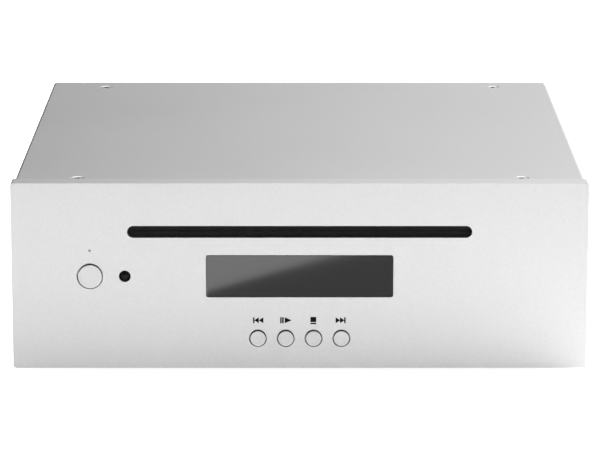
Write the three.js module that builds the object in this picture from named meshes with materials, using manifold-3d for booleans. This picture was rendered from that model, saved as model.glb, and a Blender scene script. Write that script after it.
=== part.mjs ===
// Slot-loading CD player: an aluminium front panel, a folded cover and tray, rear sockets,
// two boards and a slot-loading mechanism. Millimetres, +Z up, the front face looks along -Y.
// Origin: the middle of the bounding box's bottom face.
import * as THREE from "three";
import { mergeVertices } from "three/addons/utils/BufferGeometryUtils.js";
import Module from "manifold-3d";

const wasm = await Module();
wasm.setup();

// ---- driving dimensions ----
const panelWidth = 206;
const panelHeight = 68;
const panelThickness = 8;
const panelCorner = 1;
const bodyDepth = 200;
const socketStandOut = 5;
const footHeight = 4;
const footRadius = 9;
const panelOverhang = 0.8;
const coverDrop = 0.5;
const sheet = 1.2;
const rearPlate = 2;
const gap = 0.3;

const slotWidth = 123;
const slotHeight = 4.3;
const slotAbovePanelBottom = 50.3;
const feltDepth = 2;
const feltSlit = 0.5;

const windowWidth = 67;
const windowHeight = 15.5;
const windowCorner = 0.8;
const windowAbovePanelBottom = 34;
const windowFit = 0.12;

const buttonRadius = 3;
const buttonFit = 0.1;
const buttonPitch = 10;
const buttonAbovePanelBottom = 11.1;
const buttonTravel = 0.6;
const powerRadius = 4.5;
const powerFromCentre = -75;
const infraredRadius = 2;
const infraredFromCentre = -62.5;
const lightRadius = 0.35;
const lightAbovePower = 9.4;

const screwInset = 22.6;
const screwFromRear = 10.8;
const screwBehindPanel = 3.4;
const screwHeadRadius = 2.4;
const screwShankRadius = 1.25;
const screwLength = 6;

const discRadius = 60;

// ---- places worked out from them ----
const frontY = -(bodyDepth + socketStandOut) / 2;
const panelRearY = frontY + panelThickness;
const rearY = frontY + bodyDepth;
const panelBottom = footHeight;
const panelTop = panelBottom + panelHeight;
const coverHalf = panelWidth / 2 - panelOverhang;
const coverTop = panelTop - coverDrop;
const trayBottom = panelBottom + 1;
const trayTop = trayBottom + sheet;
const insideFrontY = panelRearY + gap;
const insideRearY = rearY - rearPlate - gap;
const trayHalf = coverHalf - sheet - gap;
const discZ = panelBottom + slotAbovePanelBottom;
const windowZ = panelBottom + windowAbovePanelBottom;
const buttonZ = panelBottom + buttonAbovePanelBottom;
const screwPlaces = [
  ["front_left", -coverHalf + screwInset, panelRearY + screwBehindPanel],
  ["front_right", coverHalf - screwInset, panelRearY + screwBehindPanel],
  ["rear_left", -coverHalf + screwInset, rearY - screwFromRear],
  ["rear_right", coverHalf - screwInset, rearY - screwFromRear],
];

// ---- materials ----
function finish(color, roughness, metalness) {
  return new THREE.MeshStandardMaterial({ color, roughness, metalness });
}
const silver = finish("#dcdcdc", 0.45, 0.9);
const coverSilver = finish("#b8b8b8", 0.4, 0.9);
const steel = finish("#9a9c9e", 0.4, 1);
const zinc = finish("#a8aaab", 0.5, 0.9);
const blackPlastic = finish("#202022", 0.5, 0);
const greyPlastic = finish("#5c5e60", 0.6, 0);
const whitePlastic = finish("#e4e2da", 0.5, 0);
const glossBlack = finish("#101012", 0.1, 0);
const clear = finish("#dfe6e8", 0.1, 0);
const felt = finish("#1c1c1c", 1, 0);
const rubber = finish("#1a1a1a", 0.9, 0);
const boardGreen = finish("#1e5a36", 0.5, 0);
const brass = finish("#b58d3d", 0.35, 1);

// ---- geometry helpers ----
function solidOf(geometry) {
  const bare = geometry.index ? geometry.toNonIndexed() : geometry.clone();
  bare.deleteAttribute("normal");
  bare.deleteAttribute("uv");
  const merged = mergeVertices(bare, 1e-4);
  return new wasm.Manifold(
    new wasm.Mesh({
      numProp: 3,
      vertProperties: merged.attributes.position.array,
      triVerts: new Uint32Array(merged.index.array),
    }),
  );
}

function geometryOf(solid) {
  const mesh = solid.getMesh();
  const geometry = new THREE.BufferGeometry();
  geometry.setAttribute("position", new THREE.BufferAttribute(mesh.vertProperties, mesh.numProp));
  geometry.setIndex(new THREE.BufferAttribute(mesh.triVerts, 1));
  geometry.computeVertexNormals();
  return geometry;
}

function join(...geometries) {
  return geometryOf(geometries.map(solidOf).reduce((sum, part) => sum.add(part)));
}

function cut(geometry, ...tools) {
  return geometryOf(tools.map(solidOf).reduce((rest, tool) => rest.subtract(tool), solidOf(geometry)));
}

// A block between two x, two y and two z planes.
function block(x0, x1, y0, y1, z0, z1) {
  const geometry = new THREE.BoxGeometry(x1 - x0, y1 - y0, z1 - z0);
  return geometry.translate((x0 + x1) / 2, (y0 + y1) / 2, (z0 + z1) / 2);
}

// A round bar along Z, Y or X, from one end plane to the other.
function barZ(radius, x, y, z0, z1, sides = 24) {
  const geometry = new THREE.CylinderGeometry(radius, radius, z1 - z0, sides);
  return geometry.rotateX(Math.PI / 2).translate(x, y, (z0 + z1) / 2);
}

function barY(radius, x, z, y0, y1, sides = 24) {
  const geometry = new THREE.CylinderGeometry(radius, radius, y1 - y0, sides);
  return geometry.translate(x, (y0 + y1) / 2, z);
}

function barX(radius, y, z, x0, x1, sides = 24) {
  const geometry = new THREE.CylinderGeometry(radius, radius, x1 - x0, sides);
  return geometry.rotateZ(Math.PI / 2).translate((x0 + x1) / 2, y, z);
}

// A turned piece about Z: the profile is [radius, z] pairs that start and end on the axis.
function turned(profile, sides = 24) {
  const points = profile.map(([r, z]) => new THREE.Vector2(r, z));
  return new THREE.LatheGeometry(points, sides).rotateX(Math.PI / 2);
}

// A rounded rectangle in X and Z, extruded along Y between two planes.
function roundedSlab(width, height, corner, x, z, y0, y1, steps = 4) {
  const w = width / 2;
  const h = height / 2;
  const shape = new THREE.Shape();
  shape.absarc(w - corner, h - corner, corner, 0, Math.PI / 2, false);
  shape.absarc(-w + corner, h - corner, corner, Math.PI / 2, Math.PI, false);
  shape.absarc(-w + corner, -h + corner, corner, Math.PI, Math.PI * 1.5, false);
  shape.absarc(w - corner, -h + corner, corner, Math.PI * 1.5, Math.PI * 2, false);
  const options = { depth: y1 - y0, bevelEnabled: false, curveSegments: steps };
  const geometry = new THREE.ExtrudeGeometry(shape, options);
  return geometry.rotateX(Math.PI / 2).translate(x, y1, z);
}

const player = new THREE.Group();

function add(name, geometry, material, x = 0, y = 0, z = 0) {
  const mesh = new THREE.Mesh(geometry, material);
  mesh.name = name;
  mesh.position.set(x, y, z);
  player.add(mesh);
  return mesh;
}

// ---- front panel: a milled plate with a rear pocket round the window and the buttons ----
const pocketWeb = 3;
const pocketMargin = 6;
const pocketRearY = frontY + pocketWeb;
const pocketHalf = windowWidth / 2 + pocketMargin;
const pocketBottom = buttonZ - buttonRadius - 3.5;
const pocketTop = windowZ + windowHeight / 2 + 3;
const powerPocketHalf = powerRadius + 4;
const powerX = powerFromCentre;
const buttonPlaces = [
  ["previous_button", -1.5 * buttonPitch],
  ["play_button", -0.5 * buttonPitch],
  ["stop_button", 0.5 * buttonPitch],
  ["next_button", 1.5 * buttonPitch],
];
const lightZ = windowZ + lightAbovePower;
const feltHalf = slotWidth / 2 + 4;
const feltHeight = 5;
const feltRearY = panelRearY - gap;
const feltFrontY = feltRearY - feltDepth;

function frontPanel() {
  const past = 1;
  const y0 = frontY - past;
  const y1 = panelRearY + past;
  const midZ = (panelBottom + panelTop) / 2;
  const slab = roundedSlab(panelWidth, panelHeight, panelCorner, 0, midZ, frontY, panelRearY);
  const bores = buttonPlaces.map(([, x]) => barY(buttonRadius + buttonFit, x, buttonZ, y0, y1, 28));
  const powerPocket = block(
    powerX - powerPocketHalf,
    infraredFromCentre + infraredRadius + 3,
    pocketRearY,
    y1,
    windowZ - powerPocketHalf,
    lightZ + 3,
  );
  const feltRecess = block(
    -feltHalf - gap,
    feltHalf + gap,
    feltFrontY - gap,
    y1,
    discZ - feltHeight - gap,
    discZ + feltHeight + gap,
  );
  return cut(
    slab,
    roundedSlab(slotWidth, slotHeight, slotHeight / 2, 0, discZ, y0, y1, 10),
    roundedSlab(windowWidth, windowHeight, windowCorner, 0, windowZ, y0, y1),
    block(-pocketHalf, pocketHalf, pocketRearY, y1, pocketBottom, pocketTop),
    powerPocket,
    feltRecess,
    barY(powerRadius + buttonFit, powerX, windowZ, y0, y1, 32),
    barY(infraredRadius + buttonFit, infraredFromCentre, windowZ, y0, y1, 20),
    barY(lightRadius + buttonFit, powerX, lightZ, y0, y1, 12),
    ...bores,
  );
}
add("front_panel", frontPanel(), silver);

// The window has a lip behind the web that is wider than its opening.
function displayWindow() {
  const fit = 2 * windowFit;
  const lip = 1;
  const lipY = pocketRearY + gap;
  return join(
    roundedSlab(windowWidth - fit, windowHeight - fit, windowCorner, 0, windowZ, frontY + 0.1, lipY + 0.2),
    roundedSlab(windowWidth + 5, windowHeight + 4, windowCorner, 0, windowZ, lipY, lipY + lip),
  );
}
add("display_window", displayWindow(), glossBlack);

function flangedPin(radius, flangeRadius, y0, y1, flangeThickness, sides) {
  return join(
    barY(radius, 0, 0, y0, y1 + 0.2, sides),
    barY(flangeRadius, 0, 0, y1, y1 + flangeThickness, sides),
  );
}
const flangeY = pocketWeb + gap;
add(
  "infrared_window",
  flangedPin(infraredRadius, infraredRadius + 1.2, 0.1, flangeY, 0.8, 20),
  glossBlack,
  infraredFromCentre,
  frontY,
  windowZ,
);
add("led_light_pipe", flangedPin(lightRadius, 1.5, 0.1, flangeY, 0.8, 12), clear, powerX, frontY, lightZ);

// ---- sprung buttons: cap, flange that stops on the web, stem that reaches the key switch ----
const buttonRecess = 0.3;
const buttonFlange = 1.1;
const buttonStem = 5.6;

function button(radius, sides) {
  return join(
    barY(radius, 0, 0, buttonRecess, flangeY + 0.2, sides),
    barY(radius + 1.2, 0, 0, flangeY, flangeY + buttonFlange, sides),
    barY(1.5, 0, 0, flangeY + buttonFlange - 0.2, buttonStem, 16),
  );
}
for (const [name, x] of buttonPlaces) {
  add(name, button(buttonRadius, 28), silver, x, frontY, buttonZ);
}
add("power_button", button(powerRadius, 32), silver, powerX, frontY, windowZ);

// ---- felts: two black strips whose lips fill the slot and leave a slit for the disc ----
const feltFit = 0.15;
const feltSetBack = 0.25;

function feltStrip(side) {
  const lipWidth = slotWidth - 2 * feltFit;
  const lipHeight = slotHeight - 2 * feltFit;
  const lipFront = frontY + feltSetBack;
  const lip = roundedSlab(lipWidth, lipHeight, lipHeight / 2, 0, discZ, lipFront, feltFrontY + 0.2, 8);
  const z0 = side > 0 ? discZ + feltSlit / 2 : discZ - feltHeight;
  const z1 = side > 0 ? discZ + feltHeight : discZ - feltSlit / 2;
  const half = solidOf(block(-feltHalf, feltHalf, frontY, feltRearY, z0, z1));
  const backing = solidOf(block(-feltHalf, feltHalf, feltFrontY, feltRearY, z0, z1));
  return geometryOf(solidOf(lip).intersect(half).add(backing));
}
add("slot_felt_upper", feltStrip(1), felt);
add("slot_felt_lower", feltStrip(-1), felt);

// ---- cover, tray and rear panel ----
function screwHole(x, y) {
  const hole = turned(
    [
      [0, -4],
      [screwShankRadius + gap, -4],
      [screwShankRadius + gap, -1.4],
      [screwHeadRadius + gap, 0],
      [screwHeadRadius + gap, 1],
      [0, 1],
    ],
    20,
  );
  return hole.translate(x, y, coverTop);
}

function topCover() {
  const y0 = insideFrontY;
  const y1 = rearY;
  const outer = block(-coverHalf, coverHalf, y0, y1, trayBottom, coverTop);
  const inner = coverHalf - sheet;
  const inside = block(-inner, inner, y0 - 1, y1 + 1, trayBottom - 1, coverTop - sheet);
  return cut(outer, inside, ...screwPlaces.map(([, x, y]) => screwHole(x, y)));
}
add("top_cover", topCover(), coverSilver);

function coverScrew() {
  const head = turned(
    [
      [0, -screwLength],
      [screwShankRadius, -screwLength],
      [screwShankRadius, -1.4],
      [screwHeadRadius, -0.1],
      [0, -0.1],
    ],
    20,
  );
  const recess = new THREE.CylinderGeometry(0.9, 0.9, 2, 6).rotateX(Math.PI / 2);
  return cut(head, recess);
}
for (const [place, x, y] of screwPlaces) {
  add(`cover_screw_${place}`, coverScrew(), steel, x, y, coverTop);
}

// Feet: rubber discs with a stem that snaps into the tray.
const footPlaces = [
  ["front_left", -1, -1],
  ["front_right", 1, -1],
  ["rear_left", -1, 1],
  ["rear_right", 1, 1],
];
const footX = coverHalf - 22;
const footY = bodyDepth / 2 - 26;
const footStem = 2.5;
const footTop = trayBottom - gap;

function foot() {
  return turned(
    [
      [0, 0],
      [footRadius - 1, 0],
      [footRadius, 1],
      [footRadius, footTop],
      [footStem, footTop],
      [footStem, trayTop + 1],
      [0, trayTop + 1],
    ],
    24,
  );
}
for (const [place, sideX, sideY] of footPlaces) {
  add(`foot_${place}`, foot(), rubber, sideX * footX, sideY * footY, 0);
}

// Base tray: a folded floor with low side flanges and standoffs for the main board.
const trayFlange = 12;
const boardThickness = 1.6;
const boardZ = trayTop + 6;
const mainBoardLength = 116;
const mainBoardRearY = rearY - 17.5;
const mainBoard = { x: 64, y0: mainBoardRearY - mainBoardLength, y1: mainBoardRearY };
const standoffPlaces = [
  [-mainBoard.x + 4, mainBoard.y0 + 4],
  [mainBoard.x - 4, mainBoard.y0 + 4],
  [-mainBoard.x + 4, mainBoard.y1 - 4],
  [mainBoard.x - 4, mainBoard.y1 - 4],
];

function baseTray() {
  const floor = block(-trayHalf, trayHalf, insideFrontY, insideRearY, trayBottom, trayTop);
  const flangeTop = trayBottom + trayFlange;
  const left = block(-trayHalf, -trayHalf + sheet, insideFrontY, insideRearY, trayBottom, flangeTop);
  const right = block(trayHalf - sheet, trayHalf, insideFrontY, insideRearY, trayBottom, flangeTop);
  const standoffs = standoffPlaces.map(([x, y]) => barZ(2.5, x, y, trayTop - 0.2, boardZ - gap, 12));
  const y0 = trayBottom - 1;
  const footHoles = footPlaces.map(([, sideX, sideY]) =>
    barZ(footStem + gap, sideX * footX, sideY * footY, y0, trayTop + 1, 24),
  );
  return cut(join(floor, left, right, ...standoffs), ...footHoles);
}
add("base_tray", baseTray(), steel);

// Front subframe: a folded steel plate behind the panel that ties panel, tray and cover together.
const subframeY0 = insideFrontY;
const subframeY1 = insideFrontY + sheet;
const subframeTop = coverTop - sheet - gap;
const subframeHalf = coverHalf - sheet - gap - 2;
const tabDepth = 9;

function frontSubframe() {
  const y0 = subframeY0 - 1;
  const y1 = subframeY1 + 1;
  const plate = block(-subframeHalf, subframeHalf, subframeY0, subframeY1, trayTop + gap, subframeTop);
  const bottom = block(
    -subframeHalf,
    subframeHalf,
    subframeY0,
    subframeY0 + tabDepth,
    trayTop + gap,
    trayTop + gap + sheet,
  );
  const tabs = [-1, 1].map((side) => {
    const x = side * (coverHalf - screwInset);
    return block(x - 9, x + 9, subframeY0, subframeY0 + tabDepth, subframeTop - sheet, subframeTop);
  });
  const holeRadius = screwShankRadius + gap;
  const holes = screwPlaces.map(([, x, y]) => barZ(holeRadius, x, y, subframeTop - 9, subframeTop + 1, 16));
  const powerEdge = powerX - powerPocketHalf;
  return cut(
    join(plate, bottom, ...tabs),
    block(-pocketHalf, pocketHalf, y0, y1, pocketBottom - 2, pocketTop),
    block(powerEdge, infraredFromCentre + 6, y0, y1, windowZ - powerPocketHalf, lightZ + 3),
    block(-slotWidth / 2 - 2, slotWidth / 2 + 2, y0, y1, discZ - 3.5, discZ + 3.5),
    ...holes,
  );
}
add("front_subframe", frontSubframe(), steel);

// ---- rear sockets: places along the rear panel ----
const socketZ = boardZ + boardThickness + 9;
const barrelRadius = 4.1;
const hoodHalf = 6.5;
const opticalHalf = 4.8;
const jackRadius = 3.8;
const inletRadius = 4.4;
const lineLeftX = 56;
const lineRightX = 38;
const coaxX = 8;
const opticalX = -10;
const triggerX = -30;
const inletX = -54;

function rearPanel() {
  const y0 = insideRearY;
  const y1 = rearY + 1;
  const plate = block(-trayHalf, trayHalf, insideRearY + gap, rearY, trayBottom, subframeTop);
  const tabZ = subframeTop - sheet;
  const tabs = [-1, 1].map((side) => {
    const x = side * (coverHalf - screwInset);
    return block(x - 9, x + 9, rearY - screwFromRear - 6, rearY - 0.5, tabZ, subframeTop);
  });
  const holeRadius = screwShankRadius + gap;
  const tapped = screwPlaces.map(([, x, y]) => barZ(holeRadius, x, y, tabZ - 1, coverTop - 0.5, 16));
  const opticalHole = opticalHalf + gap;
  const bore = barrelRadius + gap;
  const barrels = [lineLeftX, lineRightX, coaxX].map((x) => barY(bore, x, socketZ, y0, y1, 24));
  return cut(
    join(plate, ...tabs),
    ...barrels,
    block(
      opticalX - opticalHole,
      opticalX + opticalHole,
      y0,
      y1,
      socketZ - opticalHole,
      socketZ + opticalHole,
    ),
    barY(jackRadius + gap, triggerX, socketZ, y0, y1, 24),
    barY(inletRadius + gap, inletX, socketZ, y0, y1, 24),
    ...tapped,
  );
}
add("rear_panel", rearPanel(), blackPlastic);

// A phono socket: a block behind the panel, a barrel through it and a centre bore.
function phonoSocket() {
  const back = insideRearY - 0.2;
  const boreFrom = rearY - 4;
  const body = block(-hoodHalf, hoodHalf, back - 9, back, -hoodHalf - 2, hoodHalf);
  const barrel = barY(barrelRadius, 0, 0, back - 0.2, rearY + socketStandOut, 24);
  const ring = barY(barrelRadius - 0.9, 0, 0, boreFrom, rearY + socketStandOut + 1, 20);
  const core = barY(1.9, 0, 0, boreFrom - 0.2, rearY + socketStandOut - 1, 12);
  const bore = barY(1.1, 0, 0, boreFrom, rearY + socketStandOut, 8);
  const shell = solidOf(join(body, barrel)).subtract(solidOf(ring));
  return geometryOf(shell.add(solidOf(core)).subtract(solidOf(bore)));
}
add("line_out_left", phonoSocket(), whitePlastic, lineLeftX, 0, socketZ);
add("line_out_right", phonoSocket(), whitePlastic, lineRightX, 0, socketZ);
add("coax_out", phonoSocket(), whitePlastic, coaxX, 0, socketZ);

const opticalPort = 3.9;
const opticalDepth = 9;

function opticalSocket() {
  const mouth = rearY + 0.5;
  const back = insideRearY - 0.2;
  const body = block(-hoodHalf, hoodHalf, back - 9, back, -hoodHalf - 2, hoodHalf);
  const neck = block(-opticalHalf, opticalHalf, back - 0.2, mouth, -opticalHalf, opticalHalf);
  const port = block(-opticalPort, opticalPort, mouth - opticalDepth, mouth + 1, -opticalPort, opticalPort);
  return cut(join(body, neck), port);
}
add("optical_out", opticalSocket(), blackPlastic, opticalX, 0, socketZ);

function jackSocket(radius, boreRadius, standOut, pinRadius) {
  const back = insideRearY - 0.2;
  const mouth = rearY + standOut;
  const body = block(-hoodHalf, hoodHalf, back - 10, back, -hoodHalf - 2, hoodHalf);
  const barrel = barY(radius, 0, 0, back - 0.2, mouth, 24);
  const bore = barY(boreRadius, 0, 0, back - 7, mouth + 1, 20);
  const open = solidOf(join(body, barrel)).subtract(solidOf(bore));
  if (!pinRadius) return geometryOf(open);
  return geometryOf(open.add(solidOf(barY(pinRadius, 0, 0, back - 7.2, mouth - 1.5, 12))));
}
add("trigger_jack", jackSocket(jackRadius, 1.8, 0.8, 0), blackPlastic, triggerX, 0, socketZ);
add("dc_inlet", jackSocket(inletRadius, 2.9, 0.8, 1), blackPlastic, inletX, 0, socketZ);

// ---- boards ----
function mainBoardGeometry() {
  const top = boardZ + boardThickness;
  const { x, y0, y1 } = mainBoard;
  const board = block(-x, x, y0, y1, boardZ, top);
  const cans = [-48, -36, 30, 42, 54].map((cx) => barZ(4.5, cx, y1 - 30, top - 0.2, top + 12, 16));
  const chips = [
    [-30, y1 - 70, 12],
    [0, y1 - 50, 10],
    [28, y1 - 68, 8],
  ].map(([cx, cy, size]) => {
    const half = size / 2;
    return block(cx - half, cx + half, cy - half, cy + half, top - 0.2, top + 1.4);
  });
  const header = block(-20, 20, y0 + 4, y0 + 9, top - 0.2, top + 5);
  return join(board, ...cans, ...chips, header);
}
add("main_board", mainBoardGeometry(), boardGreen);

// The key switches stand on the board with their plungers just behind the button stems.
const controlBoardY0 = panelRearY + 1.2;
const controlBoardY1 = controlBoardY0 + boardThickness;
const stemEndY = frontY + buttonStem;
const plungerY = stemEndY + buttonTravel + 0.2;

function keySwitch(x, z) {
  const body = block(x - 3, x + 3, controlBoardY0 - 0.9, controlBoardY0 + 0.2, z - 3, z + 3);
  return join(body, barY(1.2, x, z, plungerY, controlBoardY0, 12));
}

function controlBoard() {
  const margin = 2;
  const board = block(
    -pocketHalf + margin,
    pocketHalf - margin,
    controlBoardY0,
    controlBoardY1,
    pocketBottom,
    pocketTop - margin,
  );
  return join(board, ...buttonPlaces.map(([, x]) => keySwitch(x, buttonZ)));
}
add("control_board", controlBoard(), boardGreen);

function powerBoard() {
  const x1 = infraredFromCentre + 5;
  const board = block(powerX - 6, x1, controlBoardY0, controlBoardY1, windowZ - 6, lightZ + 2);
  const y0 = frontY + flangeY + 0.8 + gap;
  const sensor = block(
    infraredFromCentre - 2.5,
    infraredFromCentre + 2.5,
    y0 + 0.6,
    controlBoardY0 + 0.2,
    windowZ - 3,
    windowZ + 3,
  );
  const led = barY(1.5, powerX, lightZ, y0, controlBoardY0 + 0.2, 12);
  return join(board, keySwitch(powerX, windowZ), sensor, led);
}
add("power_key_board", powerBoard(), boardGreen);

// The display module stands between the window's lip and the control board.
function displayModule() {
  const y0 = pocketRearY + gap + 1 + gap;
  const halfWidth = windowWidth / 2;
  const halfHeight = windowHeight / 2 + 0.75;
  return block(-halfWidth, halfWidth, y0, controlBoardY0 - gap, windowZ - halfHeight, windowZ + halfHeight);
}
add("display_module", displayModule(), greyPlastic);

// ---- slot-loading mechanism: sizes shared by its pieces ----
const mechHalf = discRadius + 13;
const mechLength = 142;
const mechFrontY = panelRearY + 10.5;
const mechRearY = mechFrontY + mechLength;
const mechBaseZ = discZ - 18.3;
const mechWallTop = discZ + 5.3;
const lidZ = mechWallTop + gap;
const lidTop = lidZ + sheet;
const spindleY = mechFrontY + discRadius;
const runFit = 0.05;

const armLength = 18;
const rollerY = mechFrontY + 6;
const pivotY = rollerY + armLength;
const pivotZ = discZ - 10;
const pivotPin = 2;
const armInner = 64.8;
const armSheet = 1.5;
const rollerZ = discZ - 6.4;
const rollerRadius = 4;
const rollerShaft = 1.5;

const clampPivotY = mechRearY - 8;
const clampPivotZ = lidTop + 2.9;
const clampPin = 1.5;
const clampHalf = 9;
const clampPlateZ = lidTop + 1.9;

const sliderY0 = pivotY - 10;
const sliderY1 = pivotY + 50;
const sliderForward = 8;
const sliderBack = 4;
const sliderStud = 1.5;
const sliderStudZ = discZ - 10.3;
const sliderStudPlaces = [pivotY + 2, pivotY + 34];
const legPlaces = [
  [-1, mechFrontY + 10],
  [1, mechFrontY + 10],
  [-1, mechRearY - 10],
  [1, mechRearY - 10],
];

function mechFrame() {
  const inner = mechHalf - sheet;
  const base = block(-mechHalf, mechHalf, mechFrontY, mechRearY, mechBaseZ, mechBaseZ + sheet);
  const walls = [-1, 1].map((side) => {
    const near = Math.min(side * inner, side * mechHalf);
    const far = Math.max(side * inner, side * mechHalf);
    return block(near, far, mechFrontY, mechRearY, mechBaseZ, mechWallTop);
  });
  const pins = [-1, 1].map((side) => {
    const near = Math.min(side * (armInner - 0.5), side * (mechHalf - 0.6));
    const far = Math.max(side * (armInner - 0.5), side * (mechHalf - 0.6));
    return barX(pivotPin, pivotY, pivotZ, near, far, 24);
  });
  const studs = sliderStudPlaces.map((y) => barX(sliderStud, y, sliderStudZ, -mechHalf - 3.4, -inner, 16));
  const legs = legPlaces.map(([side, y]) => {
    const x = side * (mechHalf - 3.5);
    return block(x - 3.5, x + 3.5, y - 3.5, y + 3.5, trayTop + gap, mechBaseZ + 0.2);
  });
  const half = mechHalf - 17;
  const opening = block(
    -half,
    half,
    mechFrontY + 8,
    mechRearY - 16,
    mechBaseZ - 1,
    mechBaseZ + sheet + 1,
  );
  return cut(join(base, ...walls, ...pins, ...studs, ...legs), opening);
}
add("mech_frame", mechFrame(), steel);

// The lid carries the clamp arm's pivot ears and is open under the arm.
function mechLid() {
  const plate = block(-mechHalf, mechHalf, mechFrontY, mechRearY, lidZ, lidTop);
  const opening = block(-14, 14, spindleY - 18, clampPivotY - 14, lidZ - 1, lidTop + 1);
  const ears = [-1, 1].map((side) => {
    const x = side * (clampHalf + 2.4);
    return block(x - 0.6, x + 0.6, clampPivotY - 3, clampPivotY + 3, lidTop - 0.2, clampPivotZ + 2.4);
  });
  const pins = [-1, 1].map((side) => {
    const near = Math.min(side * (clampHalf - 0.4), side * (clampHalf + 2.4));
    const far = Math.max(side * (clampHalf - 0.4), side * (clampHalf + 2.4));
    return barX(clampPin, clampPivotY, clampPivotZ, near, far, 20);
  });
  return join(cut(plate, opening), ...ears, ...pins);
}
add("mech_lid", mechLid(), steel);

// Disc guides: plastic rails along both walls, just outside the disc's edge.
for (const [name, side] of [
  ["disc_guide_left", -1],
  ["disc_guide_right", 1],
]) {
  const near = side * (discRadius + 1.2);
  const far = side * (mechHalf - sheet - gap);
  const x0 = Math.min(near, far);
  const x1 = Math.max(near, far);
  const shelf = Math.sign(side) * (discRadius + 4);
  const y0 = pivotY + 10;
  const y1 = mechRearY - 18;
  const rail = block(x0, x1, y0, y1, discZ - 5.5, mechWallTop - gap);
  const reliefX0 = Math.min(near, shelf) - 1;
  const reliefX1 = Math.max(near, shelf) + 1;
  const relief = block(reliefX0, reliefX1, y0 - 1, y1 + 1, discZ - 3, discZ + 3);
  add(name, cut(rail, relief), blackPlastic);
}

// ---- traverse deck on its four dampers ----
const deckZ = mechBaseZ + 4;
const deckTop = deckZ + 1.5;
const deckHalf = mechHalf - 5.5;
const deckFrontY = pivotY + 12;
const deckRearY = mechRearY - 4;
const damperInset = 5.5;
const damperPlaces = [
  ["front_left", damperInset - deckHalf, deckFrontY + 6],
  ["front_right", deckHalf - damperInset, deckFrontY + 6],
  ["rear_left", damperInset - deckHalf, deckRearY - 6],
  ["rear_right", deckHalf - damperInset, deckRearY - 6],
];
const rodX = 24;
const rodZ = discZ - 9.3;
const rodRadius = 1.5;
const rodFrontY = spindleY + 12;
const rodRearY = deckRearY - 1;
const leadInRadius = 24;
const sledTravel = 35;
const sledRestY = spindleY + leadInRadius;
const motorRadius = 11;
const gearModule = 1;
const feedTeeth = 12;
const pinionTeeth = 10;
const feedRadius = (gearModule * feedTeeth) / 2;
const pinionRadius = (gearModule * pinionTeeth) / 2;
const rackPitchX = rodX + 6.5;
const feedX = rackPitchX + feedRadius;
const feedAhead = 28;
const feedY = sledRestY + feedAhead;
const sledMotorX = feedX + feedRadius + pinionRadius;
const gearZ = deckTop + 1.2;
const gearThickness = 3.2;

for (const [place, x, y] of damperPlaces) {
  add(`damper_${place}`, barZ(4.5, 0, 0, mechBaseZ + sheet + gap, deckZ - gap, 20), rubber, x, y, 0);
}

function traverseDeck() {
  const plate = block(-deckHalf, deckHalf, deckFrontY, deckRearY, deckZ, deckTop);
  const posts = [rodFrontY, rodRearY - 3].flatMap((y) =>
    [-rodX, rodX].map((x) => block(x - 3, x + 3, y, y + 3, deckTop - 0.2, rodZ + 3)),
  );
  const axle = barZ(1.5, feedX, feedY, deckTop - 0.2, gearZ + gearThickness + 0.8, 20);
  const rods = [-rodX, rodX].map((x) => barY(rodRadius + gap, x, rodZ, rodFrontY - 1, rodRearY + 1, 16));
  return cut(
    join(plate, ...posts, axle),
    ...rods,
    block(-17, 17, sledRestY - 8, sledRestY + sledTravel + 11, deckZ - 1, deckTop + 1),
    barZ(5, 0, spindleY, deckZ - 1, deckTop + 1, 24),
    barZ(2, sledMotorX, feedY, deckZ - 1, deckTop + 1, 16),
  );
}
add("traverse_deck", traverseDeck(), zinc);
add("guide_rod_left", barY(rodRadius, 0, 0, rodFrontY, rodRearY, 16), steel, -rodX, 0, rodZ);
add("guide_rod_right", barY(rodRadius, 0, 0, rodFrontY, rodRearY, 16), steel, rodX, 0, rodZ);

// A small motor: a can under the deck, a boss and a bore for the shaft that it drives.
function deckMotor(radius, boss, bore, length) {
  const can = barZ(radius, 0, 0, deckZ - gap - length, deckZ - gap, 28);
  const neck = barZ(boss, 0, 0, deckZ - gap - 0.2, deckTop + 0.2, 20);
  return cut(join(can, neck), barZ(bore, 0, 0, deckZ - length, deckTop + 1, 20));
}
add("spindle_motor", deckMotor(motorRadius, 4.6, 1 + 2 * runFit, 6), steel, 0, spindleY, 0);
add("sled_motor", deckMotor(6, 1.6, 0.8 + 2 * runFit, 8), steel, sledMotorX, feedY, 0);

// Turntable and its shaft: a flat seat for the disc and a cone that centres it.
const seatZ = discZ - 4.7;
add(
  "turntable",
  turned(
    [
      [0, deckZ - 4],
      [1, deckZ - 4],
      [1, deckTop + 1],
      [5, deckTop + 1],
      [5, seatZ - 2.2],
      [14, seatZ - 2.2],
      [14, seatZ],
      [7.4, seatZ],
      [7.4, seatZ + 1.2],
      [5.4, seatZ + 2.3],
      [0, seatZ + 2.3],
    ],
    32,
  ),
  blackPlastic,
  0,
  spindleY,
  0,
);

// ---- involute gears and a rack ----
const pressureAngle = (20 * Math.PI) / 180;
const addendum = 0.8;
const dedendum = 1.15;
const backlash = 0.24;

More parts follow.
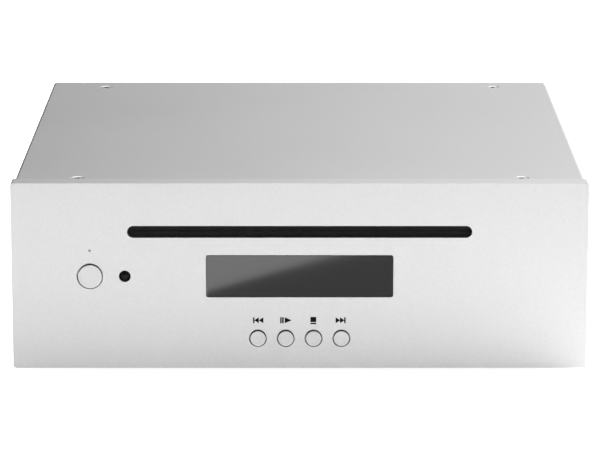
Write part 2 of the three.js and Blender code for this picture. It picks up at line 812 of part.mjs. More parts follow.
function gearShape(teeth, bore) {
  const pitch = (gearModule * teeth) / 2;
  const base = pitch * Math.cos(pressureAngle);
  const root = pitch - dedendum * gearModule;
  const tip = pitch + addendum * gearModule;
  const involute = (angle) => Math.tan(angle) - angle;
  const halfAtPitch = Math.PI / (2 * teeth) - backlash / (2 * pitch);
  const halfAt = (radius) => {
    const angle = radius > base ? Math.acos(base / radius) : 0;
    return halfAtPitch + involute(pressureAngle) - involute(angle);
  };
  const flank = [root, Math.max(base, root + 0.1), pitch, tip];
  const points = [];
  for (let tooth = 0; tooth < teeth; tooth++) {
    const centre = (2 * Math.PI * tooth) / teeth;
    const rise = flank.map((radius) => [radius, centre - halfAt(radius)]);
    const fall = flank.map((radius) => [radius, centre + halfAt(radius)]).reverse();
    for (const [radius, angle] of [...rise, ...fall]) {
      const x = radius * Math.cos(angle);
      const y = radius * Math.sin(angle);
      points.push(new THREE.Vector2(x, y));
    }
  }
  const shape = new THREE.Shape(points);
  if (bore > 0) shape.holes.push(new THREE.Path().absarc(0, 0, bore, 0, 2 * Math.PI, true));
  return shape;
}

function gear(teeth, thickness, bore) {
  const options = { depth: thickness, bevelEnabled: false, curveSegments: 20 };
  return new THREE.ExtrudeGeometry(gearShape(teeth, bore), options);
}

const feedGear = add(
  "feed_gear",
  gear(feedTeeth, gearThickness, 1.5 + runFit),
  whitePlastic,
  feedX,
  feedY,
  gearZ,
);
feedGear.rotation.z = Math.PI;

const sledPinion = add(
  "sled_pinion",
  join(gear(pinionTeeth, gearThickness, 0), barZ(0.8, 0, 0, deckZ - 4 - gearZ, 0.2, 16)),
  brass,
  sledMotorX,
  feedY,
  gearZ,
);
sledPinion.rotation.z = Math.PI / pinionTeeth;

function rack(y0, y1) {
  const half = (Math.PI * gearModule) / 4 - backlash / 2;
  const slope = Math.tan(pressureAngle);
  const root = rackPitchX - dedendum * gearModule;
  const tip = rackPitchX + addendum * gearModule;
  const pitch = Math.PI * gearModule;
  const shape = new THREE.Shape();
  shape.moveTo(rodX + 3.3, y0);
  shape.lineTo(root, y0);
  const first = Math.ceil((y0 + 1 - feedAhead) / pitch);
  const last = Math.floor((y1 - 1 - feedAhead) / pitch);
  for (let tooth = first; tooth < last; tooth++) {
    const y = feedAhead + (tooth + 0.5) * pitch;
    shape.lineTo(root, y - half - (rackPitchX - root) * slope);
    shape.lineTo(tip, y - half + (tip - rackPitchX) * slope);
    shape.lineTo(tip, y + half - (tip - rackPitchX) * slope);
    shape.lineTo(root, y + half + (rackPitchX - root) * slope);
  }
  shape.lineTo(root, y1);
  shape.lineTo(rodX + 3.3, y1);
  const options = { depth: gearThickness - 0.6, bevelEnabled: false };
  return new THREE.ExtrudeGeometry(shape, options).translate(0, 0, gearZ + 0.3);
}

// ---- pickup: a sled on two rods with a rack, and a lens holder that focuses ----
const lensZ = discZ - 6;

function pickupSled() {
  const bottom = deckTop + 0.6;
  const top = lensZ - 0.8;
  const body = block(-19.8, 19.8, -9, 9, bottom, top);
  const sleeves = [-1, 1].map((side) => {
    const x = side * rodX;
    return block(x - 4.4, x + 4.4, -8, 8, bottom, rodZ + 2.8);
  });
  const bores = [-rodX, rodX].map((x) => barY(rodRadius + runFit, x, rodZ, -10, 10, 16));
  const optics = block(-10, 10, -6, 8.5, bottom - 4, bottom + 0.2);
  const post = block(-3, 3, 6, 8.5, top - 0.2, lensZ + 1.6);
  const magnets = [-7, 7].map((x) => block(x - 1, x + 1, -4, 4, top - 0.2, lensZ + 1.4));
  const rackBar = rack(-8, feedAhead + 5);
  const optical = barZ(2.2, 0, 0, bottom + 1, top + 1, 16);
  return cut(join(body, ...sleeves, optics, post, ...magnets, rackBar), ...bores, optical);
}
add("pickup_sled", pickupSled(), zinc, 0, sledRestY, 0);

const lensHolder = join(
  block(-4.6, 4.6, -4.6, 4.6, lensZ, lensZ + 1.6),
  turned(
    [
      [0, lensZ + 1.4],
      [2.4, lensZ + 1.4],
      [2.4, lensZ + 1.8],
      [1.4, lensZ + 2.3],
      [0, lensZ + 2.5],
    ],
    16,
  ),
);
add("lens_holder", lensHolder, blackPlastic, 0, sledRestY, 0);

// ---- roller arm, feed roller and their motor ----
const rollerTeeth = 12;
const loadTeeth = 8;
const driveAngle = (-20 * Math.PI) / 180;
const driveCentres = (gearModule * (rollerTeeth + loadTeeth)) / 2;
const loadY = rollerY + driveCentres * Math.cos(driveAngle);
const loadZ = rollerZ + driveCentres * Math.sin(driveAngle);
const loadMotorRadius = 4.5;
const armOuter = armInner + armSheet;
const driveX = armOuter + 0.9;

function rollerArm() {
  const z0 = discZ - 12.3;
  const z1 = discZ - 4;
  const plates = [-1, 1].map((side) => {
    const near = Math.min(side * armInner, side * armOuter);
    const far = Math.max(side * armInner, side * armOuter);
    return block(near, far, rollerY - 4, pivotY + 4, z0, z1);
  });
  const bar = block(-armInner - 0.2, armInner + 0.2, pivotY + 2.6, pivotY + 4, z0 - 3, z0 + 4);
  const cradleTop = loadZ - loadMotorRadius - gap;
  const cradle = block(46, 55, loadY - 3.5, pivotY + 2.8, cradleTop - 1.1, cradleTop);
  return cut(
    join(...plates, bar, cradle),
    barX(rollerShaft + runFit, rollerY, rollerZ, -mechHalf, mechHalf, 20),
    barX(pivotPin + runFit, pivotY, pivotZ, -mechHalf, mechHalf, 24),
    barX(1.3, loadY, loadZ, 0, mechHalf, 16),
  );
}
add("roller_arm", rollerArm(), steel);

// The rubber is waisted, so that it grips a disc by its edges only.
function feedRoller() {
  const half = discRadius - 1;
  const profile = [
    [0, -armOuter - 0.6],
    [rollerShaft, -armOuter - 0.6],
    [rollerShaft, -half],
    [rollerRadius, -half],
    [rollerRadius - 0.7, 0],
    [rollerRadius, half],
    [rollerShaft, half],
    [rollerShaft, armOuter + 0.6],
    [0, armOuter + 0.6],
  ];
  return turned(profile, 20).rotateY(Math.PI / 2);
}
add("feed_roller", feedRoller(), rubber, 0, rollerY, rollerZ);

// Gears that turn about X: their teeth start at +Y.
function driveGear(teeth, bore, turn) {
  const flat = gear(teeth, 2.6, bore).rotateZ(turn);
  return flat.rotateX(Math.PI / 2).rotateZ(Math.PI / 2);
}
add("roller_gear", driveGear(rollerTeeth, 0, driveAngle), whitePlastic, driveX, rollerY, rollerZ);

const loadPinionGeometry = join(
  driveGear(loadTeeth, 0, driveAngle + Math.PI + Math.PI / loadTeeth),
  barX(0.8, 0, 0, -7, 0.2, 16),
);
add("load_pinion", loadPinionGeometry, brass, driveX, loadY, loadZ);
add(
  "load_motor",
  cut(
    barX(loadMotorRadius, 0, 0, armInner - gap - 20, armInner - gap, 24),
    barX(0.8 + 2 * runFit, 0, 0, armInner - gap - 6, armInner + 1, 20),
  ),
  steel,
  0,
  loadY,
  loadZ,
);

// ---- clamp arm and clamper above the disc ----
const clampSheet = 1.2;
const clampHole = 5.8;

function clampArm() {
  const top = clampPlateZ + clampSheet;
  const plate = block(-clampHalf, clampHalf, spindleY, clampPivotY + 3, clampPlateZ, top);
  const ring = barZ(12, 0, spindleY, clampPlateZ, top, 32);
  const lugs = [-1, 1].map((side) => {
    const near = Math.min(side * (clampHalf - 1.2), side * clampHalf);
    const far = Math.max(side * (clampHalf - 1.2), side * clampHalf);
    return block(near, far, clampPivotY - 3, clampPivotY + 3, clampPlateZ - 0.8, clampPivotZ + 2.4);
  });
  return cut(
    join(plate, ring, ...lugs),
    barZ(clampHole, 0, spindleY, clampPlateZ - 1, top + 1, 24),
    barX(clampPin + runFit, clampPivotY, clampPivotZ, -clampHalf - 1, clampHalf + 1, 20),
  );
}
add("clamp_arm", clampArm(), steel);

add(
  "clamper",
  turned(
    [
      [0, discZ + 5.7],
      [8.6, discZ + 5.7],
      [8.6, discZ + 2.7],
      [12.5, discZ + 2.7],
      [12.5, discZ + 5.5],
      [5, discZ + 7.2],
      [5, clampPlateZ + clampSheet + 0.4],
      [7.5, clampPlateZ + clampSheet + 0.4],
      [7.5, clampPlateZ + clampSheet + 1.5],
      [0, clampPlateZ + clampSheet + 1.5],
    ],
    28,
  ),
  whitePlastic,
  0,
  spindleY,
  0,
);

// ---- mode slider on the left wall, guided by the wall's studs ----
function modeSlider() {
  const x0 = -mechHalf - 2.4;
  const x1 = -mechHalf - 1.2;
  const plate = block(x0, x1, sliderY0, sliderY1, discZ - 13.3, discZ + 2.7);
  const slots = sliderStudPlaces.map((y) =>
    block(
      x0 - 1,
      x1 + 1,
      y - sliderBack - sliderStud - gap,
      y + sliderForward + sliderStud + gap,
      sliderStudZ - sliderStud - gap,
      sliderStudZ + sliderStud + gap,
    ),
  );
  const windows = sliderStudPlaces.map((y) => block(x0 - 1, x1 + 1, y - 8, y + 8, discZ - 5, discZ));
  return cut(plate, ...slots, ...windows);
}
add("mode_slider", modeSlider(), blackPlastic);

// ---- ribbon from the control board, under the mechanism, to the main board's header ----
function ribbonCable() {
  const thickness = 0.4;
  const headerTop = boardZ + boardThickness + 5 + gap;
  const start = controlBoardY1 + gap;
  const route = [
    [start, boardZ + 6],
    [start + 4, boardZ + 6],
    [start + 9, boardZ + 10],
    [mainBoard.y0 - 6, boardZ + 10],
    [mainBoard.y0 + 4, headerTop],
    [mainBoard.y0 + 9, headerTop],
  ];
  const under = route.map(([y, z]) => new THREE.Vector2(y, z));
  const over = route.map(([y, z]) => new THREE.Vector2(y, z + thickness)).reverse();
  const options = { depth: 30, bevelEnabled: false };
  const strip = new THREE.ExtrudeGeometry(new THREE.Shape([...under, ...over]), options);
  return strip.rotateX(Math.PI / 2).rotateZ(Math.PI / 2).translate(-15, 0, 0);
}
add("ribbon_cable", ribbonCable(), whitePlastic);

export default player;
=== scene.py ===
from math import atan2, cos, pi, radians, sin, sqrt

import bmesh
import bpy
from mathutils import Matrix, Vector


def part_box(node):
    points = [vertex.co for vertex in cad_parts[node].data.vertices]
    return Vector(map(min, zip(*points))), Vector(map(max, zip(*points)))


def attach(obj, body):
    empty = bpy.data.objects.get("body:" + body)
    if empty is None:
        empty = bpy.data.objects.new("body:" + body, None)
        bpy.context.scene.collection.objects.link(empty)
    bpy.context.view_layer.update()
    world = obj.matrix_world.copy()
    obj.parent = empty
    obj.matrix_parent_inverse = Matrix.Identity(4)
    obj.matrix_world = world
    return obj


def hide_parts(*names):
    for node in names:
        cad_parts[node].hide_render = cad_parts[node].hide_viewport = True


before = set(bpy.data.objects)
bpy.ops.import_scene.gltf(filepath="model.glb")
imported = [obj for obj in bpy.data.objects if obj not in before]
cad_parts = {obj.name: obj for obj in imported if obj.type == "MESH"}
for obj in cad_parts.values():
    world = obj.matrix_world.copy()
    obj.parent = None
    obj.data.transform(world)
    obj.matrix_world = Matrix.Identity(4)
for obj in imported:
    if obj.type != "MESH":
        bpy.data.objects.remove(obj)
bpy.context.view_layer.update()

MM = 0.001

# ----------------------------------------------------------
# Studio: the player stands on a white table under a wide softbox, and a long lens looks down on
# it. The room is bright on the right, dark on the left with a faint glow at its far end, and
# dimmer in front.
# ----------------------------------------------------------
CAMERA_DISTANCE = 1.1161
CAMERA_HEIGHT = 0.3145
CAMERA_PITCH = radians(13.0)
LENS_MM = 192.96

front_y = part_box("front_panel")[0].y
camera_data = bpy.data.cameras.new("camera")
camera_data.lens = LENS_MM
camera_data.sensor_width = 36
camera_data.clip_start = 0.01
camera = bpy.data.objects.new("camera", camera_data)
camera.location = (0.00013, front_y - CAMERA_DISTANCE, CAMERA_HEIGHT)
camera.rotation_euler = (pi / 2 - CAMERA_PITCH, 0, 0)
bpy.context.scene.collection.objects.link(camera)
bpy.context.scene.camera = camera
bpy.context.scene.view_settings.view_transform = "Standard"


class Field:
    """A value that varies over a surface. Arithmetic on it adds Math nodes to its finish."""

    def __init__(self, finish, socket):
        self.finish = finish
        self.socket = socket

    def __add__(self, other):
        return self.finish.math("ADD", self, other)

    def __radd__(self, other):
        return self.finish.math("ADD", other, self)

    def __sub__(self, other):
        return self.finish.math("SUBTRACT", self, other)

    def __rsub__(self, other):
        return self.finish.math("SUBTRACT", other, self)

    def __mul__(self, other):
        return self.finish.math("MULTIPLY", self, other)

    def __rmul__(self, other):
        return self.finish.math("MULTIPLY", other, self)


class Finish:
    """A material built from nodes around one Principled shader."""

    def __init__(self, name, tree=None):
        if tree is None:
            self.material = bpy.data.materials.new(name)
            self.material.use_nodes = True
            tree = self.material.node_tree
            self.shader = tree.nodes["Principled BSDF"]
        self.tree = tree

    def feed(self, socket, value):
        if isinstance(value, Field):
            self.tree.links.new(value.socket, socket)
        elif hasattr(socket.default_value, "__len__"):
            socket.default_value = (*value, 1.0)[: len(socket.default_value)]
        else:
            socket.default_value = value

    def node(self, kind, settings=None, inputs=None, out=0):
        made = self.tree.nodes.new("ShaderNode" + kind)
        for key, value in (settings or {}).items():
            setattr(made, key, value)
        for key, value in (inputs or {}).items():
            self.feed(made.inputs[key], value)
        return Field(self, made.outputs[out])

    def math(self, operation, first, second):
        return self.node("Math", {"operation": operation}, {0: first, 1: second})

    def surface(self, **sockets):
        for key, value in sockets.items():
            self.feed(self.shader.inputs[key.replace("_", " ")], value)

    def place(self, scale=(1, 1, 1)):
        """The piece's own coordinates in metres, stretched for a pattern."""
        source = self.node("TexCoord", out="Object")
        return self.node("Mapping", {}, {"Vector": source, "Scale": scale})

    def noise(self, where, scale, detail=2.0, roughness=0.5, distortion=0.0):
        values = {
            "Vector": where,
            "Scale": scale,
            "Detail": detail,
            "Roughness": roughness,
            "Distortion": distortion,
        }
        return self.node("TexNoise", {}, values)

    def mix(self, amount, first, second):
        """A colour between two colours."""
        return self.node("Mix", {"data_type": "RGBA"}, {0: amount, 6: first, 7: second}, out=2)

    def metal_tone(self, shade, green=1.0, blue=1.0):
        """A grey of varying shade whose green and blue are a share of its red."""
        shares = {0: shade, 1: shade * green, 2: shade * blue}
        return self.node("CombineColor", {"mode": "RGB"}, shares)

    def spread(self, value, low, high, to_low, to_high):
        """A value moved from one range to another and kept inside it."""
        values = {0: value, 1: low, 2: high, 3: to_low, 4: to_high}
        return self.node("MapRange", {"clamp": True}, values)

    def bump(self, height, distance, strength):
        return self.node("Bump", {}, {"Strength": strength, "Distance": distance, "Height": height})


# Brightness of the room by direction: across it, at its far ends, and in front of the player.
ROOM_LEFT = 0.0
ROOM_RIGHT = 1.15
ROOM_EDGE = 0.18
ROOM_FAR_RIGHT = 0.5
ROOM_FAR_LEFT = 0.42
ROOM_FRONT = 0.32
world = bpy.data.worlds.new("studio")
bpy.context.scene.world = world
world.use_nodes = True
room = Finish("room", world.node_tree)
direction = room.node("TexCoord", out="Generated")
across = room.node("SeparateXYZ", {}, {0: direction}, out="X")
ahead = room.node("SeparateXYZ", {}, {0: direction}, out="Y")
side_light = room.spread(across, -ROOM_EDGE, ROOM_EDGE, ROOM_LEFT, ROOM_RIGHT)
front_shade = room.spread(ahead, -0.15, 0.15, ROOM_FRONT, 1.0)
far_shade = room.spread(across, 0.4, 0.85, 1.0, ROOM_FAR_RIGHT)
left_glow = room.spread(across, -0.9, -0.5, ROOM_FAR_LEFT, 0.0)
brightness = (side_light * far_shade + left_glow) * front_shade
room.feed(world.node_tree.nodes["Background"].inputs["Color"], (1.0, 1.0, 1.0))
room.feed(world.node_tree.nodes["Background"].inputs["Strength"], brightness)


def lamp(name, place, aim, size, power, height=None):
    """A softbox that the camera doesn't see, turned to what it lights."""
    light = bpy.data.lights.new(name, "AREA")
    light.shape = "RECTANGLE"
    light.size = size
    light.size_y = height or size
    light.energy = power
    holder = bpy.data.objects.new(name, light)
    holder.location = place
    holder.rotation_euler = (Vector(aim) - Vector(place)).to_track_quat("-Z", "Y").to_euler()
    holder.visible_camera = False
    bpy.context.scene.collection.objects.link(holder)
    return holder


OVERHEAD_POWER = 42
REAR_POWER = 34
lamp("overhead_softbox", (0.1, -0.1, 1.5), (0, 0, 0), 2.4, OVERHEAD_POWER)
rear_softbox = lamp("rear_right_softbox", (0.6, 1.1, 0.9), (0, 0, 0), 1.2, REAR_POWER)
rear_softbox.visible_glossy = False


def tabletop(name, height, glow):
    """A white tabletop at a height, with a faint glow that keeps its shadows light."""
    table_mesh = bmesh.new()
    level = Matrix.Translation((0, 0, height))
    bmesh.ops.create_grid(table_mesh, x_segments=1, y_segments=1, size=6, matrix=level)
    table_data = bpy.data.meshes.new(name)
    table_mesh.to_mesh(table_data)
    table_mesh.free()
    table = bpy.data.objects.new(name, table_data)
    bpy.context.scene.collection.objects.link(table)
    paint = Finish(name + "_paint")
    grain = paint.noise(paint.place(), 40, 3)
    white = paint.mix(grain * 0.04, (0.93, 0.93, 0.93), (0.88, 0.88, 0.88))
    paint.surface(Base_Color=white, Roughness=0.85, Emission_Color=(1.0, 1.0, 1.0), Emission_Strength=glow)
    table_data.materials.append(paint.material)
    return table


# The camera sees a bright tabletop. The player's metal mirrors a plainer one just under it.
TABLE_GLOW = 0.95
seen_table = tabletop("white_table", 0.0, TABLE_GLOW)
seen_table.visible_diffuse = False
seen_table.visible_glossy = False
seen_table.visible_shadow = False
mirrored_table = tabletop("mirrored_table", -0.1 * MM, 0.0)
mirrored_table.visible_camera = False

# ----------------------------------------------------------
# Front panel: one 8 mm plate of aluminium, milled from behind, bead-blasted and anodised in its
# natural silver. The slot, the window opening and the key bores have fine broken edges.
# ----------------------------------------------------------
PANEL_CORNER = 1.0 * MM
BORE_EDGE = 0.06 * MM
FRONT_WEB = 3.0 * MM
INK = 0.02 * MM
FACE_SLACK = 0.01 * MM


def round_off(bm, parts, radius, segments, affect="EDGES"):
    """Rounds the edges in parts, or with VERTICES the corners of a flat face."""
    bmesh.ops.bevel(
        bm,
        geom=parts,
        offset=radius,
        offset_type="OFFSET",
        segments=segments,
        profile=0.5,
        affect=affect,
        material=-1,
    )


def front_matrix(x, y, z):
    """Stands a flat shape upright at a place, so that it faces the front."""
    return Matrix.Translation((x, y, z)) @ Matrix.Rotation(pi / 2, 4, "X")


def wire_rectangle(bm, width, height, corner, x, z, y, steps=6):
    """The edges of a rounded rectangle that faces the front."""
    place = front_matrix(x, y, z) @ Matrix.Diagonal((width / 2, height / 2, 1, 1))
    known = set(bm.edges)
    corners = bmesh.ops.create_grid(bm, x_segments=1, y_segments=1, size=1, matrix=place)["verts"]
    if corner:
        round_off(bm, corners, corner, steps, "VERTICES")
    wire = [edge for edge in bm.edges if edge not in known]
    bmesh.ops.delete(bm, geom=[wire[0].link_faces[0]], context="FACES_ONLY")
    return wire


def wire_circle(bm, radius, x, z, y, sides=48):
    place = front_matrix(x, y, z)
    ring = bmesh.ops.create_circle(bm, cap_ends=False, radius=radius, segments=sides, matrix=place)
    return list({edge for vert in ring["verts"] for edge in vert.link_edges})


def fill(bm, *wires):
    """One flat face inside the first wire, with the other wires as holes."""
    edges = [edge for wire in wires for edge in wire]
    bmesh.ops.triangle_fill(bm, use_beauty=True, use_dissolve=False, edges=edges, normal=(0, -1, 0))


def walls(bm, wire, y):
    """Walls from a wire straight back to the plane y. Gives the wire at their far end."""
    grown = bmesh.ops.extrude_edge_only(bm, edges=wire)["geom"]
    for vert in grown:
        if isinstance(vert, bmesh.types.BMVert):
            vert.co.y = y
    edges = [item for item in grown if isinstance(item, bmesh.types.BMEdge)]
    return [edge for edge in edges if all(abs(vert.co.y - y) < 1e-9 for vert in edge.verts)]


def break_edges(bm, offset, wanted, segments=2):
    """Rounds the edges that wanted(edge) picks."""
    edges = [edge for edge in bm.edges if len(edge.link_faces) == 2 and wanted(edge)]
    round_off(bm, edges, offset, segments)


def front_rim(edge, y):
    """True for an edge between the front face at y and a wall."""
    on_face = all(abs(vert.co.y - y) < FACE_SLACK for vert in edge.verts)
    tilts = sorted(abs(face.normal.y) for face in edge.link_faces)
    return on_face and tilts[0] < 0.5 < tilts[1]


def add_piece(bm, name, finish, body, slot, replaces=(), sharp=30, weighted=False):
    """Makes the bmesh a shown piece that rides on a body and stands for its CAD nodes."""
    data = bpy.data.meshes.new(name)
    bm.to_mesh(data)
    bm.free()
    data.shade_smooth()
    data.set_sharp_from_angle(angle=radians(sharp))
    data.materials.append(finish.material)
    piece = bpy.data.objects.new(name, data)
    bpy.context.scene.collection.objects.link(piece)
    if weighted:
        normals = piece.modifiers.new("face_weighted_normals", "WEIGHTED_NORMAL")
        normals.keep_sharp = True
    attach(piece, body)
    if replaces:
        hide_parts(*replaces)
    return piece


def middle(node):
    low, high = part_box(node)
    return (low + high) / 2


def blasted_aluminium(name, tone, painted_gap_shade=None):
    """A pale metal with a fine grain. The optional share darkens what lies deeper than the panel's face:
    painted shade on the cap sides and flanges down in the bore's gap.
    """
    finish = Finish(name)
    where = finish.place()
    grain = finish.noise(where, 2600, 2, 0.6)
    beads = finish.noise(where, 900, 2, 0.5)
    cloud = finish.noise(where, 22, 2, 0.5)
    shade = tone + (grain - 0.5) * 0.10 + (beads - 0.5) * 0.05 + (cloud - 0.5) * 0.02
    # Painted shade: the tone falls with depth behind the panel's face. It stands in for the shade in the
    # gap around a key.
    if painted_gap_shade:
        depth = finish.node("SeparateXYZ", {}, {0: where}, out="Y")
        shade = shade * finish.spread(depth, front_y + 0.33 * MM, front_y + 0.48 * MM, 1.0, painted_gap_shade)
    rough = 0.42 + (grain - 0.5) * 0.12
    dents = finish.bump(grain + beads * 0.7, 0.02 * MM, 0.35)
    tone_colour = finish.metal_tone(shade, blue=1.005)
    finish.surface(Base_Color=tone_colour, Metallic=1.0, Roughness=rough, Normal=dents)
    return finish


panel_finish = blasted_aluminium("blasted_silver_panel", 0.653)
panel_low, panel_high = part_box("front_panel")
panel_size = panel_high - panel_low
panel_middle = (panel_low + panel_high) / 2
window_middle = middle("display_window")
window_opening = Vector((67.0 * MM, 0, 15.5 * MM))
slot_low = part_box("slot_felt_lower")[0]
slot_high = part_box("slot_felt_upper")[1]
slot_middle = (slot_low + slot_high) / 2
SLOT_WIDTH = 123 * MM
SLOT_HEIGHT = 4.3 * MM
KEY_BORE = 3.2 * MM
POWER_BORE = 4.7 * MM
KEYS = ("previous_button", "play_button", "stop_button", "next_button")

POCKET_MARGIN = 6 * MM
panel_rear_y = panel_high.y
web_y = front_y + FRONT_WEB
face_y = front_y + INK
felt_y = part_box("slot_felt_upper")[1].y - 2.3 * MM
key_z = middle("play_button").z
power = middle("power_button")
infrared = middle("infrared_window")
light = middle("led_light_pipe")

panel = bmesh.new()
outline = wire_rectangle(panel, panel_size.x, panel_size.z, PANEL_CORNER, 0, panel_middle.z, face_y)
slot_corner = SLOT_HEIGHT / 2 - 0.001 * MM
slot = wire_rectangle(panel, SLOT_WIDTH, SLOT_HEIGHT, slot_corner, 0, slot_middle.z, face_y, 12)
window = wire_rectangle(panel, window_opening.x, window_opening.z, 0.8 * MM, 0, window_middle.z, face_y)
key_bores = [wire_circle(panel, KEY_BORE, middle(key).x, key_z, face_y) for key in KEYS]
power_bore = wire_circle(panel, POWER_BORE, power.x, power.z, face_y, 64)
infrared_bore = wire_circle(panel, 2.1 * MM, infrared.x, infrared.z, face_y)
light_bore = wire_circle(panel, 0.42 * MM, light.x, light.z, face_y, 24)
fill(panel, outline, slot, window, *key_bores, power_bore, infrared_bore, light_bore)
rear = [walls(panel, outline, panel_rear_y)]
pocket_top = window_middle.z + window_opening.z / 2 + 3 * MM
pocket_bottom = key_z - KEY_BORE - 3.4 * MM
pocket_middle = (pocket_top + pocket_bottom) / 2
pocket_width = window_opening.x + 2 * POCKET_MARGIN
power_side = (power.x + infrared.x) / 2 - 1.5 * MM
felt_width = SLOT_WIDTH + 8.6 * MM
# Each pocket: its width and height, the x and z of its middle, its floor and the holes in it.
pockets = (
    (pocket_width, pocket_top - pocket_bottom, 0, pocket_middle, web_y, [window, *key_bores]),
    (27 * MM, 21 * MM, power_side, power.z + 2 * MM, web_y, [power_bore, infrared_bore, light_bore]),
    (felt_width, 10.6 * MM, 0, slot_middle.z, felt_y, [slot]),
)
for width, height, x, z, floor_y, holes in pockets:
    edge_wire = wire_rectangle(panel, width, height, 2 * MM, x, z, floor_y)
    fill(panel, edge_wire, *[walls(panel, hole, floor_y) for hole in holes])
    rear.append(walls(panel, edge_wire, panel_rear_y))
fill(panel, *rear)
bmesh.ops.remove_doubles(panel, verts=panel.verts[:], dist=0.002 * MM)
bmesh.ops.recalc_face_normals(panel, faces=panel.faces[:])
break_edges(panel, BORE_EDGE, lambda edge: front_rim(edge, face_y))
panel_looks = (panel_finish, "chassis", "silver_panel", ["front_panel"])
add_piece(panel, "front_panel_face", *panel_looks, weighted=True)

# ----------------------------------------------------------
# Power key and transport keys: turned aluminium caps with a blasted face; their sides and flanges carry
# painted shade that darkens with depth. A flange behind the panel stops each cap and its stem reaches the
# key switch. They hang low in their bores.
# ----------------------------------------------------------
KEY_EDGE = 0.08 * MM
KEY_SAG = Vector((0.05, 0, -0.28)) * MM
FLANGE_REACH = 1.42 * MM
STEM_RADIUS = 1.5 * MM
# The keys' finish paints shade on their sides and flanges, deeper than the panel's face.
key_finish = blasted_aluminium("blasted_silver_key", 0.64, painted_gap_shade=0.15)


def outline_mm(start, *points):
    """Outline points in mm: the radius, and the distance along the axis from start."""
    return [(radius * MM, start + along * MM) for radius, along in points]


def rounded_rim(radius, place, edge, steps=3, turn=1):
    """Outline points that round a rim: from the end face out to the side."""
    points = []
    for step in range(steps + 1):
        angle = step / steps * pi / 2
        points.append((radius - edge + edge * sin(angle), place + turn * edge * (1 - cos(angle))))
    return points


def upper_rim(radius, place, edge):
    """Outline points that round the far rim: from the side in to the end face."""
    return rounded_rim(radius, place, edge, 3, -1)[::-1]


def turned(bm, outline, steps=64, axis="Y", centre=(0, 0, 0)):
    """Spins an outline of (radius, place along the axis) pairs into a closed turned piece."""
    across, along = {"X": ("y", "x"), "Y": ("x", "y"), "Z": ("x", "z")}[axis]
    verts = []
    for radius, place in outline:
        point = Vector((0, 0, 0))
        setattr(point, across, radius)
        setattr(point, along, place)
        verts.append(bm.verts.new(point))
    edges = [bm.edges.new(pair) for pair in zip(verts, verts[1:])]
    direction = Vector((float(axis == "X"), float(axis == "Y"), float(axis == "Z")))
    bmesh.ops.spin(
        bm,
        geom=verts + edges,
        cent=(0, 0, 0),
        axis=direction,
        angle=2 * pi,
        steps=steps,
        use_merge=True,
    )
    spun = [vert for vert in bm.verts if vert.link_edges]
    bmesh.ops.remove_doubles(bm, verts=spun, dist=0.0005 * MM)
    bmesh.ops.recalc_face_normals(bm, faces=bm.faces[:])
    bmesh.ops.translate(bm, verts=bm.verts[:], vec=centre)


def turned_piece(name, outline, steps, axis, centre, *looks, **more_looks):
    """A shown piece with one turned outline. The looks are what add_piece takes."""
    bm = bmesh.new()
    turned(bm, outline, steps, axis, centre)
    return add_piece(bm, name, *looks, **more_looks)


KEY_BODIES = {
    "previous_button": "previous_key",
    "play_button": "play_key",
    "stop_button": "stop_key",
    "next_button": "next_key",
    "power_button": "power_key",
}
for key, body in KEY_BODIES.items():
    low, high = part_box(key)
    flange = (high.x - low.x) / 2
    cap = flange - FLANGE_REACH
    outline = [(0, low.y), (cap - KEY_EDGE * 2, low.y)]
    outline += rounded_rim(cap, low.y, KEY_EDGE)
    outline += [(cap, front_y + 3.3 * MM), (flange, front_y + 3.3 * MM), (flange, front_y + 4.4 * MM)]
    outline += [(STEM_RADIUS, front_y + 4.4 * MM), (STEM_RADIUS, high.y), (0, high.y)]
    centre = Vector((middle(key).x, 0, middle(key).z)) + KEY_SAG
    looks = (key_finish, body, "silver_panel", [key])
    turned_piece(key + "_cap", outline, 64, "Y", centre, *looks, weighted=True)

# ----------------------------------------------------------
# Display window: a polished slab of smoked acrylic, flush in its opening, on a lip that is
# glued behind the panel's web. It is nearly black and mirrors the room softly.
# ----------------------------------------------------------
WINDOW_FIT = 0.12 * MM


def hazy(name, grain, dark, bright, haze, roughness, **more):
    """A finish whose tint and roughness follow one fine noise. The grain is what noise takes."""
    finish = Finish(name)
    marks = finish.noise(finish.place(), *grain)
    tint = finish.mix(marks, dark, bright)
    finish.surface(Base_Color=tint, Roughness=marks * haze + roughness, **more)
    return finish


smoke = ((0.003, 0.003, 0.003), (0.005, 0.005, 0.006))
window_finish = hazy("smoked_window", [60], *smoke, 0.02, 0.07, IOR=1.49, Specular_IOR_Level=0.29)


def rounded_slab(bm, width, height, corner, x, z, y0, y1, edge=0.0):
    """A slab with rounded corners between two planes, its front rim rounded by edge."""
    known = set(bm.verts)
    wire = wire_rectangle(bm, width, height, corner, x, z, y0)
    fill(bm, wire)
    fill(bm, walls(bm, wire, y1))
    made = [vert for vert in bm.verts if vert not in known]
    bmesh.ops.recalc_face_normals(bm, faces=list({face for vert in made for face in vert.link_faces}))
    if edge:
        break_edges(bm, edge, lambda rim: front_rim(rim, y0))


window_low, window_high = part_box("display_window")
window_mesh = bmesh.new()
slab = (window_opening.x - 2 * WINDOW_FIT, window_opening.z - 2 * WINDOW_FIT, 0.7 * MM)
lip = (window_high.x - window_low.x, window_high.z - window_low.z, 0.8 * MM)
lip_y = web_y + 0.3 * MM
rounded_slab(window_mesh, *slab, 0, window_middle.z, window_low.y, lip_y, 0.08 * MM)
rounded_slab(window_mesh, *lip, 0, window_middle.z, lip_y, window_high.y)
window_looks = (window_finish, "chassis", "gloss_window", ["display_window"])
window_piece = add_piece(window_mesh, "smoked_window_slab", *window_looks, weighted=True)

